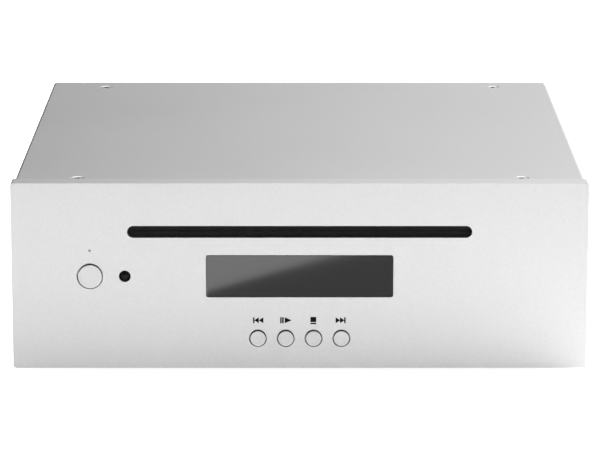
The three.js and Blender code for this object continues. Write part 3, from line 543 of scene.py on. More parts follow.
# A low strip of light in front of the player reaches the window alone. Its slanting edge shows
# as a soft diagonal across the polished face.
STRIP_EDGE = ((-34 * MM, -117 * MM), (20 * MM, -188 * MM))
STRIP_WIDTH = 120 * MM
STRIP_LENGTH = 210 * MM
STRIP_POWER = 0.44
edge_start, edge_end = [Vector(place) for place in STRIP_EDGE]
edge_run = (edge_end - edge_start).normalized()
strip_middle = (edge_start + edge_end) / 2 + Vector((edge_run.y, -edge_run.x)) * STRIP_WIDTH / 2
strip_place = (strip_middle.x, front_y + strip_middle.y, 3 * MM)
strip = lamp("window_strip", strip_place, strip_place, STRIP_LENGTH, STRIP_POWER, STRIP_WIDTH)
strip.rotation_euler = (pi, 0, atan2(edge_run.y, edge_run.x))
lit_pieces = bpy.data.collections.new("lit_by_window_strip")
lit_pieces.objects.link(window_piece)
strip.light_linking.receiver_collection = lit_pieces

# ----------------------------------------------------------
# Infrared window: a small domed button of black acrylic. Light pipe: a clear stub of acrylic
# behind the pinhole above the power key.
# ----------------------------------------------------------
DOME_RADIUS = 2 * MM
DOME_DEPTH = 1.1 * MM
infrared_tints = ((0.004, 0.004, 0.004), (0.008, 0.007, 0.008))
infrared_gloss = {"IOR": 1.49, "Specular_IOR_Level": 0.16}
infrared_finish = hazy("black_infrared_acrylic", [300], *infrared_tints, 0.03, 0.06, **infrared_gloss)
infrared_low, infrared_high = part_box("infrared_window")
dome_front = infrared_low.y + 0.35 * MM
outline = [(0, dome_front)]
for angle in (0.2, 0.4, 0.8, 1.2, pi / 2):
    outline.append((DOME_RADIUS * sin(angle), dome_front + DOME_DEPTH * (1 - cos(angle))))
outline += outline_mm(front_y, (2, 3.3), (3.2, 3.3))
outline += outline_mm(infrared_high.y, (3.2, 0), (0, 0))
infrared_centre = (infrared.x, 0, infrared.z)
infrared_looks = (infrared_finish, "chassis", "gloss_window", ["infrared_window"])
turned_piece("infrared_dome", outline, 48, "Y", infrared_centre, *infrared_looks, sharp=40)

pipe_tints = ((0.22, 0.22, 0.23), (0.32, 0.32, 0.33))
pipe_finish = hazy("clear_light_pipe", [800], *pipe_tints, 0.1, 0.15)
pipe_low, pipe_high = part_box("led_light_pipe")
outline = outline_mm(pipe_low.y, (0, 0), (0.30, 0), (0.35, 0.06))
outline += outline_mm(front_y, (0.35, 3.3), (1.5, 3.3))
outline += outline_mm(pipe_high.y, (1.5, 0), (0, 0))
light_centre = (light.x, 0, light.z)
pipe_looks = (pipe_finish, "chassis", "clear_light_pipe", ["led_light_pipe"])
turned_piece("light_pipe_stub", outline, 24, "Y", light_centre, *pipe_looks, sharp=40)

# ----------------------------------------------------------
# Signs above the transport keys: back, pause and play, stop, and forward, screen-printed on the
# panel in matt black ink a few hundredths of a millimetre thick.
# ----------------------------------------------------------
SIGN_ABOVE_KEY = 6.66 * MM
SIGN_HEIGHT = 2.2 * MM
ink_tints = ((0.002, 0.002, 0.002), (0.007, 0.007, 0.007))
ink_finish = hazy("black_screen_ink", [3000], *ink_tints, 0.2, 0.6, Specular_IOR_Level=0.1)


def sign_bar(bm, x0, x1, z0, z1):
    half_size = Matrix.Diagonal(((x1 - x0) / 2, (z1 - z0) / 2, 1, 1))
    place = front_matrix((x0 + x1) / 2, front_y, (z0 + z1) / 2) @ half_size
    bmesh.ops.create_grid(bm, x_segments=1, y_segments=1, size=1, matrix=place)


def sign_arrow(bm, base_x, tip_x, z):
    """A filled triangle from its upright base to its tip."""
    stretch = Matrix.Diagonal(((tip_x - base_x) / 1.5, SIGN_HEIGHT / sqrt(3), 1, 1))
    turn = Matrix.Rotation(-pi / 2, 4, "Z")
    place = front_matrix(base_x + (tip_x - base_x) / 3, front_y, z) @ stretch @ turn
    bmesh.ops.create_circle(bm, cap_ends=True, radius=1, segments=3, matrix=place)


# Each sign in mm from its middle: its bars as x from and to, z from and to, and its arrows as the
# x of their base and tip.
SIGNS = {
    "previous_button": ("sign_back", [(-1.70, -1.18, -1.1, 1.1)], [(0.38, -1.28), (2.00, 0.36)]),
    "play_button": (
        "sign_pause_play",
        [(-2.00, -1.45, -1.1, 1.1), (-1.30, -0.70, -1.1, 1.1)],
        [(-0.36, 2.14)],
    ),
    "stop_button": ("sign_stop", [(-1.13, 0.95, -0.66, 1.22), (-1.13, 0.95, -1.46, -0.94)], []),
    "next_button": ("sign_forward", [(0.97, 1.51, -1.1, 1.1)], [(-2.08, -0.44), (-0.55, 1.12)]),
}
for key, (sign, bars, arrows) in SIGNS.items():
    x = middle(key).x
    z = key_z + SIGN_ABOVE_KEY
    print_mesh = bmesh.new()
    for x0, x1, z0, z1 in bars:
        sign_bar(print_mesh, x + x0 * MM, x + x1 * MM, z + z0 * MM, z + z1 * MM)
    for base_x, tip_x in arrows:
        sign_arrow(print_mesh, x + base_x * MM, x + tip_x * MM, z)
    bmesh.ops.solidify(print_mesh, geom=print_mesh.faces[:], thickness=0.8 * INK)
    front = min(vert.co.y for vert in print_mesh.verts)
    bmesh.ops.translate(print_mesh, verts=print_mesh.verts[:], vec=(0, front_y + 0.1 * INK - front, 0))
    bmesh.ops.recalc_face_normals(print_mesh, faces=print_mesh.faces[:])
    add_piece(print_mesh, sign, ink_finish, "chassis", "silver_panel")

# ----------------------------------------------------------
# Slot felts: two strips of black pressed felt on a flat backing, cut so that their lips fill the
# slot and leave a slit for the disc. Their edges are soft and their nap catches a little light.
# ----------------------------------------------------------
FELT_FIT = 0.05 * MM
LIP_SET_BACK = 1.3 * MM
BACKING = 2 * MM
SLIT = 0.14 * MM
felt_finish = Finish("black_pressed_felt")
felt_fibres = felt_finish.noise(felt_finish.place((1, 1, 6)), 1400, 4, 0.75, 0.6)
felt_tufts = felt_finish.noise(felt_finish.place(), 500, 3, 0.6)
felt_tint = felt_finish.mix(felt_fibres, (0.003, 0.003, 0.003), (0.018, 0.018, 0.019))
felt_nap = felt_finish.bump(felt_fibres + felt_tufts, 0.25 * MM, 0.8)
felt_finish.surface(Base_Color=felt_tint, Roughness=felt_tufts * 0.2 + 0.8, Normal=felt_nap)
felt_finish.surface(Sheen_Weight=0.04, Sheen_Roughness=0.6, Specular_IOR_Level=0.2)

lip_width = SLOT_WIDTH - 2 * FELT_FIT
lip_height = SLOT_HEIGHT - 2 * FELT_FIT
lip_corner = lip_height / 2 - 0.001 * MM
for place_name, side in (("lower", -1), ("upper", 1)):
    node = "slot_felt_" + place_name
    low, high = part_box(node)
    lip_front = low.y + LIP_SET_BACK
    backing_height = 2 * abs((low.z if side < 0 else high.z) - slot_middle.z)
    backing = (high.x - low.x, backing_height, 0.6 * MM)
    felt_mesh = bmesh.new()
    lip_size = (lip_width, lip_height, lip_corner)
    rounded_slab(felt_mesh, *lip_size, 0, slot_middle.z, lip_front, felt_y + 0.2 * MM)
    rounded_slab(felt_mesh, *backing, 0, slot_middle.z, high.y - BACKING, high.y)
    cut_off = bmesh.ops.bisect_plane(
        felt_mesh,
        geom=felt_mesh.verts[:] + felt_mesh.edges[:] + felt_mesh.faces[:],
        dist=1e-7,
        plane_co=(0, 0, slot_middle.z + side * SLIT / 2),
        plane_no=(0, 0, -side),
        clear_outer=True,
    )["geom_cut"]
    rim = [item for item in cut_off if isinstance(item, bmesh.types.BMEdge)]
    bmesh.ops.edgeloop_fill(felt_mesh, edges=rim)
    bmesh.ops.recalc_face_normals(felt_mesh, faces=felt_mesh.faces[:])
    break_edges(felt_mesh, 0.35 * MM, lambda edge: front_rim(edge, lip_front), 3)
    add_piece(felt_mesh, "felt_lip_" + place_name, felt_finish, "chassis", "felt", [node], sharp=60)

# ----------------------------------------------------------
# Top cover: one sheet of aluminium, 1.2 mm thick, folded down at both sides and countersunk for
# its four screws. It is brushed very finely and anodised a shade darker than the panel.
# ----------------------------------------------------------
SHEET = 1.2 * MM
BEND_OUTSIDE = 1.3 * MM
SINK_RADIUS = 2.7 * MM
HOLE_RADIUS = 1.55 * MM
SCREW_NODES = [f"cover_screw_{end}_{side}" for end in ("front", "rear") for side in ("left", "right")]


def lie_flat(bm, verts, z):
    """Turns what faces the front at y = 0 to face up at height z."""
    turn = Matrix.Translation((0, 0, z)) @ Matrix.Rotation(-pi / 2, 4, "X")
    bmesh.ops.transform(bm, matrix=turn, verts=verts)


def folded_skin(bm, half, y0, y1, bottom, top, bend, holes, sides):
    """A flat top with round holes, a bend at each side and a wall down from each bend."""
    known = set(bm.verts)
    middle_y = (y0 + y1) / 2
    flat = half - bend
    edge_wire = wire_rectangle(bm, 2 * flat, y1 - y0, 0, 0, middle_y, 0)
    rings = [wire_circle(bm, radius, x, y, 0, sides) for x, y, radius in holes]
    fill(bm, edge_wire, *rings)
    lie_flat(bm, [vert for vert in bm.verts if vert not in known], top)
    for side in (-1, 1):
        fold_x = side * flat
        seam = [edge for edge in edge_wire if all(abs(vert.co.x - fold_x) < 1e-7 for vert in edge.verts)]
        bent = bmesh.ops.spin(
            bm,
            geom=seam + list({vert for edge in seam for vert in edge.verts}),
            cent=(fold_x, 0, top - bend),
            axis=(0, side, 0),
            angle=pi / 2,
            steps=6,
            use_merge=False,
        )["geom_last"]
        last = [item for item in bent if isinstance(item, bmesh.types.BMEdge)]
        hem = bmesh.ops.extrude_edge_only(bm, edges=last)["geom"]
        for item in hem:
            if isinstance(item, bmesh.types.BMVert):
                item.co.z = bottom
    return rings


def folded_sheet(bm, half, y0, y1, bottom, top, outer_holes, inner_holes, sides):
    """A folded sheet with its thickness: two skins that are joined at the holes and at the rim."""
    outer = folded_skin(bm, half, y0, y1, bottom, top, BEND_OUTSIDE, outer_holes, sides)
    inner_half, inner_top, inner_bend = half - SHEET, top - SHEET, BEND_OUTSIDE - SHEET
    inner = folded_skin(bm, inner_half, y0, y1, bottom, inner_top, inner_bend, inner_holes, sides)
    for outer_ring, inner_ring in zip(outer, inner):
        bmesh.ops.bridge_loops(bm, edges=outer_ring + inner_ring)
    bmesh.ops.bridge_loops(bm, edges=[edge for edge in bm.edges if len(edge.link_faces) == 1])
    bmesh.ops.recalc_face_normals(bm, faces=bm.faces[:])


cover_low, cover_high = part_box("top_cover")
cover_mesh = bmesh.new()
screw_places = [(middle(node).x, middle(node).y) for node in SCREW_NODES]
sinks = [(x, y, SINK_RADIUS) for x, y in screw_places]
clearances = [(x, y, HOLE_RADIUS) for x, y in screw_places]
cover_span = (cover_high.x, cover_low.y, cover_high.y, cover_low.z, cover_high.z)
folded_sheet(cover_mesh, *cover_span, sinks, clearances, 40)


def cover_rim(edge):
    """True for the outer skin's edges along its cut ends and hems."""
    ends = [vert.co for vert in edge.verts]
    cut_ends = (cover_low.y, cover_high.y)
    at_end = all(min(abs(place.y - cut) for cut in cut_ends) < 1e-6 for place in ends)
    at_hem = all(abs(place.z - cover_low.z) < 1e-6 for place in ends)
    inner_x = cover_high.x - SHEET / 2
    outside = all(abs(place.x) > inner_x or place.z > cover_high.z - SHEET / 2 for place in ends)
    same_end = abs(ends[0].y - ends[1].y) < 1e-6
    return outside and ((at_end and same_end) or (at_hem and not same_end))


break_edges(cover_mesh, 0.12 * MM, cover_rim, 1)


def brushed_aluminium(name, tone, roughness):
    """Anodised sheet, brushed finely from side to side."""
    finish = Finish(name)
    strokes = finish.noise(finish.place((0.02, 1, 1)), 1800, 3, 0.65)
    satin = finish.noise(finish.place(), 1500, 2, 0.6)
    cloud = finish.noise(finish.place(), 14)
    shade = tone + (strokes - 0.5) * 0.04 + (satin - 0.5) * 0.05 + (cloud - 0.5) * 0.015
    finish.surface(Base_Color=finish.metal_tone(shade, 1.002, 1.006), Metallic=1.0)
    rough = roughness + (strokes - 0.5) * 0.10 + (cloud - 0.5) * 0.04
    finish.surface(Roughness=rough, Normal=finish.bump(strokes + satin * 0.6, 0.012 * MM, 0.3))
    return finish


cover_finish = brushed_aluminium("brushed_silver_cover", 0.60, 0.42)
cover_looks = (cover_finish, "chassis", "silver_cover", ["top_cover"])
add_piece(cover_mesh, "folded_cover", *cover_looks, weighted=True)

# ----------------------------------------------------------
# Cover screws: countersunk steel screws with a hexagon socket, nickel plated. Each sits a touch
# below the cover in its countersink; the bright cone shows round the dark socket.
# ----------------------------------------------------------
SOCKET_ACROSS = 1.8 * MM
SOCKET_DEPTH = 1.1 * MM
THREAD_PITCH = 0.45 * MM
screw_finish = Finish("nickel_screw")
screw_marks = screw_finish.noise(screw_finish.place(), 1200, 3, 0.6)
screw_tone = screw_finish.mix(screw_marks, (0.62, 0.62, 0.61), (0.78, 0.78, 0.77))
screw_finish.surface(Base_Color=screw_tone, Metallic=1.0, Roughness=screw_marks * 0.2 + 0.18)
screw_finish.surface(Normal=screw_finish.bump(screw_marks, 0.01 * MM, 0.3))


def socket_screw(bm, head_radius, head_height, shank_radius, length, place):
    """A countersunk screw that points down from its head at place, with a hexagon socket."""
    face_radius = head_radius - 0.15 * MM
    rim = wire_circle(bm, face_radius, 0, 0, 0, 48)
    socket = wire_circle(bm, SOCKET_ACROSS / sqrt(3), 0, 0, 0, 6)
    fill(bm, rim, socket)
    fill(bm, walls(bm, socket, SOCKET_DEPTH))
    outline = [(face_radius, 0), (head_radius, 0.12 * MM), (shank_radius, head_height)]
    turns = int((length - head_height) / THREAD_PITCH)
    for turn in range(1, turns):
        crest = head_height + turn * THREAD_PITCH
        outline += [(shank_radius, crest - THREAD_PITCH * 0.4), (shank_radius - 0.2 * MM, crest)]
    outline += [(shank_radius - 0.3 * MM, length), (0, length)]
    turned(bm, outline, 48, "Y")
    lie_flat(bm, bm.verts[:], 0)
    bmesh.ops.translate(bm, verts=bm.verts[:], vec=place)


for node in SCREW_NODES:
    low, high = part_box(node)
    head_place = (middle(node).x, middle(node).y, high.z)
    screw_mesh = bmesh.new()
    socket_screw(screw_mesh, 2.4 * MM, 1.3 * MM, 1.25 * MM, high.z - low.z, head_place)
    add_piece(screw_mesh, node + "_socket_head", screw_finish, "chassis", "steel", [node], sharp=25)

# ----------------------------------------------------------
# Base tray: a galvanised steel floor with a low flange folded up at each side, two fields of
# punched vent holes, and four pressed-in standoffs that carry the main board.
# ----------------------------------------------------------
FOOT_HOLE = 2.8 * MM
VENT_RADIUS = 1.6 * MM
VENT_PITCH = 7.0 * MM
STANDOFF_MM = 2.5
STANDOFF_INSET = 4 * MM


def zinc_steel(name, tone, roughness):
    """Galvanised steel sheet: a cool grey with faint spangles and rubbed scuffs."""
    finish = Finish(name)
    where = finish.place()
    cells = finish.node("TexVoronoi", {"feature": "F1"}, {"Vector": where, "Scale": 260.0}, out="Color")
    spangle = finish.node("SeparateColor", {}, {0: cells})
    scuff = finish.noise(finish.place((1, 6, 1)), 160, 4, 0.75)
    shade = tone + (spangle - 0.5) * 0.035 + (scuff - 0.5) * 0.07
    rough = roughness + (spangle - 0.5) * 0.05 + (scuff - 0.5) * 0.10
    finish.surface(Base_Color=finish.metal_tone(shade, 1.01, 1.03), Metallic=1.0, Roughness=rough)
    finish.surface(Normal=finish.bump(scuff + spangle * 0.3, 0.02 * MM, 0.3))
    return finish


def upright(node):
    """The x and y of a node's middle, for a piece that is turned about an upright axis."""
    return Vector((middle(node).x, middle(node).y, 0))


tray_finish = zinc_steel("galvanised_tray", 0.46, 0.38)
tray_low, tray_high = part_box("base_tray")
feet = [f"foot_{end}_{side}" for end in ("front", "rear") for side in ("left", "right")]
holes = [(middle(foot).x, middle(foot).y, FOOT_HOLE) for foot in feet]
for side in (-1, 1):
    for row in range(5):
        for column in range(7):
            x = side * 44 * MM + (row - 2) * VENT_PITCH
            y = (column - 3) * VENT_PITCH + (row % 2) * VENT_PITCH / 2
            holes.append((x, y, VENT_RADIUS))
tray_mesh = bmesh.new()
tray_span = (tray_high.x, tray_low.y, tray_high.y, tray_low.z - tray_high.z, 0)
folded_sheet(tray_mesh, *tray_span, holes, holes, 16)
bmesh.ops.scale(tray_mesh, verts=tray_mesh.verts[:], vec=(1, 1, -1))
bmesh.ops.translate(tray_mesh, verts=tray_mesh.verts[:], vec=(0, 0, tray_low.z))
bmesh.ops.recalc_face_normals(tray_mesh, faces=tray_mesh.faces[:])
add_piece(tray_mesh, "vented_base_tray", tray_finish, "chassis", "steel", ["base_tray"], weighted=True)

board_low, board_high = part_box("main_board")
tray_floor = tray_low.z + SHEET
standoff_top = board_low.z - 0.3 * MM
outline = outline_mm(tray_floor, (0, -0.2), (STANDOFF_MM, -0.2))
outline += outline_mm(standoff_top, (STANDOFF_MM, -0.2), (STANDOFF_MM - 0.2, 0))
outline += outline_mm(standoff_top, (1.2, 0), (1.2, -3), (0, -3))
xs = (board_low.x + STANDOFF_INSET, board_high.x - STANDOFF_INSET)
ys = (board_low.y + STANDOFF_INSET, board_high.y - STANDOFF_INSET)
for number, (x, y) in enumerate([(x, y) for y in ys for x in xs], 1):
    turned_piece(f"board_standoff_{number}", outline, 32, "Z", (x, y, 0), tray_finish, "chassis", "steel")

# ----------------------------------------------------------
# Feet: four moulded rubber discs. Each has a hollow sole, so that it grips on its outer ring,
# and a barbed stem that snaps into the tray.
# ----------------------------------------------------------
rubber_finish = Finish("black_foot_rubber")
rubber_grain = rubber_finish.noise(rubber_finish.place(), 900, 3, 0.6)
rubber_dust = rubber_finish.noise(rubber_finish.place(), 60, 3, 0.6)
rubber_tint = rubber_finish.mix(rubber_dust, (0.010, 0.010, 0.010), (0.030, 0.029, 0.028))
rubber_finish.surface(Base_Color=rubber_tint, Roughness=rubber_grain * 0.2 + 0.62)
rubber_finish.surface(Normal=rubber_finish.bump(rubber_grain, 0.03 * MM, 0.5))

for foot in feet:
    low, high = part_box(foot)
    radius = (high.x - low.x) / 2
    shoulder = tray_low.z - 0.3 * MM
    outline = outline_mm(0, (0, 1.1), (3.8, 1.1), (4.4, 0.2), (4.7, 0))
    outline += rounded_rim(radius, 0, 0.9 * MM, 4) + upper_rim(radius, shoulder, 0.5 * MM)
    outline += [(2.5 * MM, shoulder)] + outline_mm(high.z, (2.5, -1.1), (2.7, -0.9), (2.2, 0), (0, 0))
    looks = (rubber_finish, "chassis", "rubber", [foot])
    turned_piece(foot + "_rubber", outline, 64, "Z", upright(foot), *looks)

# ----------------------------------------------------------
# Rear panel: a 2 mm steel plate, powder coated black, with a bore for each socket, a row of vent
# slots and two bent tabs that take the rear cover screws. Small screws hold the sockets.
# ----------------------------------------------------------
REAR_PLATE = 2.0 * MM
VENT_SLOT = (1.8 * MM, 13.0 * MM)
VENT_SLOT_PITCH = 4.2 * MM
VENT_SLOTS = 17
coat_finish = Finish("black_powder_coat")
coat_peel = coat_finish.noise(coat_finish.place(), 700, 3, 0.55)
coat_fleck = coat_finish.noise(coat_finish.place(), 2400, 2, 0.6)
coat_tint = coat_finish.mix(coat_fleck, (0.006, 0.006, 0.006), (0.018, 0.018, 0.018))
coat_finish.surface(Base_Color=coat_tint, Roughness=coat_peel * 0.2 + 0.42)
coat_finish.surface(Normal=coat_finish.bump(coat_peel + coat_fleck * 0.4, 0.05 * MM, 0.6))

PHONO = ("line_out_left", "line_out_right", "coax_out")
SOCKET_BORES = {node: 4.4 * MM for node in PHONO}
SOCKET_BORES.update(trigger_jack=4.1 * MM, dc_inlet=4.7 * MM)
rear_low, rear_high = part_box("rear_panel")
rear_y = rear_high.y
rear_inner_y = rear_y - REAR_PLATE
socket_z = middle("optical_out").z + 1 * MM
optical_x = middle("optical_out").x
rear_size = rear_high - rear_low
rear_edge = (rear_size.x, rear_size.z, 0.6 * MM, 0, middle("rear_panel").z)
optical_opening = (10.2 * MM, 10.2 * MM, 0.5 * MM, optical_x, socket_z)
rear_mesh = bmesh.new()
rear_wires = [wire_rectangle(rear_mesh, *edge, rear_inner_y) for edge in (rear_edge, optical_opening)]
for node in SOCKET_BORES:
    rear_wires.append(wire_circle(rear_mesh, SOCKET_BORES[node], middle(node).x, socket_z, rear_inner_y))
vent = (*VENT_SLOT, VENT_SLOT[0] / 2.01)
slot_z = rear_high.z - 19 * MM
for number in range(VENT_SLOTS):
    slot_x = (number - (VENT_SLOTS - 1) / 2) * VENT_SLOT_PITCH
    rear_wires.append(wire_rectangle(rear_mesh, *vent, slot_x, slot_z, rear_inner_y, 4))
fill(rear_mesh, *rear_wires)
fill(rear_mesh, *[walls(rear_mesh, wire, rear_y) for wire in rear_wires])
bmesh.ops.recalc_face_normals(rear_mesh, faces=rear_mesh.faces[:])
break_edges(rear_mesh, 0.15 * MM, lambda edge: front_rim(edge, rear_y), 1)
add_piece(rear_mesh, "rear_plate", coat_finish, "chassis", "black_rear", ["rear_panel"], weighted=True)

TAB_WIDTH = 18 * MM
tab_y0 = rear_low.y
tab_y1 = rear_y - 0.5 * MM
for node, (x, y) in list(zip(SCREW_NODES, screw_places))[2:]:
    tab_mesh = bmesh.new()
    tab_rim = wire_rectangle(tab_mesh, TAB_WIDTH, tab_y1 - tab_y0, 1 * MM, x, (tab_y0 + tab_y1) / 2, 0)
    tab_hole = wire_circle(tab_mesh, HOLE_RADIUS, x, y, 0, 32)
    fill(tab_mesh, tab_rim, tab_hole)
    fill(tab_mesh, walls(tab_mesh, tab_rim, SHEET), walls(tab_mesh, tab_hole, SHEET))
    bmesh.ops.recalc_face_normals(tab_mesh, faces=tab_mesh.faces[:])
    lie_flat(tab_mesh, tab_mesh.verts[:], rear_high.z)
    add_piece(tab_mesh, node.replace("cover_screw", "tab"), coat_finish, "chassis", "black_rear")

# ----------------------------------------------------------
# Phono sockets: a gold-plated outer barrel, a coloured insulator with a gold centre contact, and
# a moulded black hood behind the panel that is soldered to the main board.
# ----------------------------------------------------------
def metal(name, dark, bright, roughness, grain=1500):
    """Plated or turned metal with fine marks."""
    finish = Finish(name)
    marks = finish.noise(finish.place(), grain, 3, 0.65)
    cloud = finish.noise(finish.place(), 120)
    finish.surface(Base_Color=finish.mix(marks * 0.6 + cloud * 0.4, dark, bright), Metallic=1.0)
    finish.surface(Roughness=marks * 0.16 + roughness, Normal=finish.bump(marks, 0.01 * MM, 0.3))
    return finish


def plastic(name, dark, bright, roughness, grain=1100):
    """Moulded plastic with a fine spark-eroded texture."""
    finish = Finish(name)
    texture = finish.noise(finish.place(), grain, 3, 0.6)
    flow = finish.noise(finish.place(), 45)
    finish.surface(Base_Color=finish.mix(texture * 0.5 + flow * 0.5, dark, bright), IOR=1.5)
    finish.surface(Roughness=texture * 0.18 + roughness, Normal=finish.bump(texture, 0.02 * MM, 0.35))
    return finish


gold_finish = metal("gold_plating", (0.72, 0.50, 0.18), (0.86, 0.63, 0.27), 0.16)
tin_finish = metal("bright_tin", (0.55, 0.55, 0.56), (0.72, 0.72, 0.73), 0.25)
black_finish = plastic("black_moulding", (0.010, 0.010, 0.011), (0.026, 0.026, 0.027), 0.40)
insulators = {
    "line_out_left": plastic("white_insulator", (0.66, 0.65, 0.62), (0.76, 0.75, 0.73), 0.32),
    "line_out_right": plastic("red_insulator", (0.42, 0.018, 0.014), (0.56, 0.030, 0.022), 0.32),
    "coax_out": plastic("orange_insulator", (0.62, 0.15, 0.012), (0.74, 0.22, 0.020), 0.32),
}


def block(bm, low, high, edge):
    """A block between two corners with its edges rounded."""
    known = set(bm.verts)
    low, high = Vector(low), Vector(high)
    place = Matrix.Translation((low + high) / 2) @ Matrix.Diagonal((*(high - low), 1))
    bmesh.ops.create_cube(bm, size=1, matrix=place)
    edges = {side for vert in bm.verts if vert not in known for side in vert.link_edges}
    round_off(bm, list(edges), edge, 2)


def block_piece(name, low, high, edge, *looks):
    """A shown piece that is one block. The looks are what add_piece takes."""
    bm = bmesh.new()
    block(bm, low, high, edge)
    return add_piece(bm, name, *looks)


def hood(name, node):
    """The moulded block behind the rear panel, with two stiffening ridges on top."""
    low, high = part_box(node)
    back = rear_inner_y - 0.5 * MM
    ridge_y0, ridge_y1 = low.y + 1 * MM, back - 1 * MM
    hood_mesh = bmesh.new()
    block(hood_mesh, low, (high.x, back, high.z), 0.5 * MM)
    for side in (-1, 1):
        x0 = middle(node).x + side * 3.2 * MM - 0.6 * MM
        x1 = x0 + 1.2 * MM
        block(hood_mesh, (x0, ridge_y0, high.z - 0.3 * MM), (x1, ridge_y1, high.z), 0.1 * MM)
    add_piece(hood_mesh, name, black_finish, "chassis", "black_plastic")


floor_y = rear_y - 3.6 * MM
gold_looks = (gold_finish, "chassis", "gold_socket")
for node in PHONO:
    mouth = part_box(node)[1].y
    centre = (middle(node).x, 0, socket_z)
    barrel = [(3.30 * MM, floor_y)]
    barrel += outline_mm(mouth, (3.30, -0.15), (3.45, 0), (3.85, 0), (4.02, -0.08), (4.1, -0.25))
    barrel += outline_mm(rear_y, (4.1, 0.9), (5.4, 0.8), (5.55, 0.65), (5.55, 0.05), (4.1, 0.05))
    barrel += [(4.1 * MM, floor_y), barrel[0]]
    turned_piece(node + "_barrel", barrel, 64, "Y", centre, *gold_looks, [node])
    insulator = outline_mm(floor_y, (0, 0), (3.25, 0), (3.25, 0.8), (2.3, 1.2))
    insulator += outline_mm(mouth, (2.3, -1.5), (2.05, -1.2), (1.45, -1.2), (1.3, -1.6))
    insulator += outline_mm(floor_y, (1.3, 0.5), (0, 0.5))
    looks = (insulators[node], "chassis", "white_plastic")
    turned_piece(node + "_insulator", insulator, 48, "Y", centre, *looks)
    contact = [(0.85 * MM, floor_y + 0.6 * MM)]
    contact += outline_mm(mouth, (0.85, -1.9), (1.05, -1.6), (1.25, -1.6))
    contact += [(1.25 * MM, floor_y + 0.6 * MM), contact[0]]
    turned_piece(node + "_contact", contact, 32, "Y", centre, *gold_looks)
    hood(node + "_hood", node)

# ----------------------------------------------------------
# Optical socket, trigger jack and supply inlet: black mouldings that look through the panel. The
# optical port has a sprung shutter, the jack a nickel nut, the inlet a nickel pin.
# ----------------------------------------------------------
optical_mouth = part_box("optical_out")[1].y
port_floor = optical_mouth - 7 * MM
neck = bmesh.new()
neck_wires = [
    wire_rectangle(neck, 9.6 * MM, 9.6 * MM, 0.6 * MM, optical_x, socket_z, port_floor),
    wire_rectangle(neck, 7.8 * MM, 7.8 * MM, 1.6 * MM, optical_x, socket_z, port_floor),
]
fill(neck, *neck_wires)
fill(neck, *[walls(neck, wire, optical_mouth) for wire in neck_wires])
bmesh.ops.recalc_face_normals(neck, faces=neck.faces[:])
break_edges(neck, 0.25 * MM, lambda edge: front_rim(edge, optical_mouth))
add_piece(neck, "optical_neck", black_finish, "chassis", "black_plastic", ["optical_out"])
hood("optical_hood", "optical_out")

shutter_finish = plastic("grey_shutter", (0.050, 0.050, 0.052), (0.085, 0.085, 0.088), 0.35)
shutter_size = (7.5 * MM, 7.5 * MM, 1.4 * MM)
shutter_span = (optical_mouth - 1.9 * MM, optical_mouth - 1.2 * MM)
grip_low = (optical_x - 1.6 * MM, optical_mouth - 1.3 * MM, socket_z - 2.6 * MM)
grip_high = (optical_x + 1.6 * MM, optical_mouth - 0.9 * MM, socket_z - 2.0 * MM)
shutter = bmesh.new()
rounded_slab(shutter, *shutter_size, optical_x, socket_z, *shutter_span)
block(shutter, grip_low, grip_high, 0.12 * MM)
add_piece(shutter, "optical_shutter", shutter_finish, "chassis", "grey_module")

for node, outer, bore, looks in (
    ("trigger_jack", 3.8, 1.8, (tin_finish, "chassis", "steel")),
    ("dc_inlet", 4.4, 2.9, (black_finish, "chassis", "black_plastic")),
):
    ring = ((bore, -7), (bore, -0.3), (bore + 0.3, 0), (outer - 0.3, 0), (outer, -0.3), (outer, -7))
    outline = outline_mm(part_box(node)[1].y, *ring, ring[0])
    turned_piece(node + "_ring", outline, 64, "Y", (middle(node).x, 0, socket_z), *looks, [node])
    hood(node + "_hood", node)
pin_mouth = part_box("dc_inlet")[1].y - 1.5 * MM
outline = outline_mm(pin_mouth, (0, -6), (1, -6), (1, -0.7), (0.6, -0.1), (0, 0))
pin_centre = (middle("dc_inlet").x, 0, socket_z)
turned_piece("dc_inlet_pin", outline, 32, "Y", pin_centre, tin_finish, "chassis", "steel")

# Small pan-head screws with a hexagon socket, beside the sockets, hold their hoods to the panel.
black_screw = metal("black_zinc_screw", (0.030, 0.030, 0.032), (0.075, 0.075, 0.078), 0.30)
HOLDING_SCREWS = (47, 23, -1, -20, -42, -66, 67)
HOLDING_SCREW_Z = 22.8 * MM
for number, x in enumerate(HOLDING_SCREWS, 1):
    pan = bmesh.new()
    rim = wire_circle(pan, 1.5 * MM, 0, 0, rear_y + 0.9 * MM, 40)
    socket = wire_circle(pan, 0.8 * MM, 0, 0, rear_y + 0.9 * MM, 6)
    fill(pan, rim, socket)
    fill(pan, walls(pan, socket, rear_y + 0.2 * MM))
    outline = outline_mm(rear_y, (1.5, 0.9), (1.85, 0.72), (2.1, 0.35), (2.1, 0), (0, 0))
    turned(pan, outline, 40, "Y", (x * MM, 0, HOLDING_SCREW_Z))
    add_piece(pan, f"socket_screw_{number}", black_screw, "chassis", "steel")

# ----------------------------------------------------------
# Front subframe: a folded plate of galvanised steel behind the front panel. It ties the panel,
# the tray and the cover together with its bottom flange and two tapped tabs.
# ----------------------------------------------------------
def dress(finish, *nodes, edge=0.12 * MM):
    """Gives CAD nodes that keep their own shape a finish, and softens their sharp edges."""
    for name in nodes:
        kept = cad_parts[name]
        for place in kept.material_slots:
            place.link = "OBJECT"
            place.material = finish.material
        soft = kept.modifiers.new("softened_edges", "BEVEL")
        soft.width = edge
        soft.segments = 2
        soft.limit_method = "ANGLE"
        soft.angle_limit = radians(40)


subframe_finish = zinc_steel("galvanised_subframe", 0.50, 0.34)
dress(subframe_finish, "front_subframe")

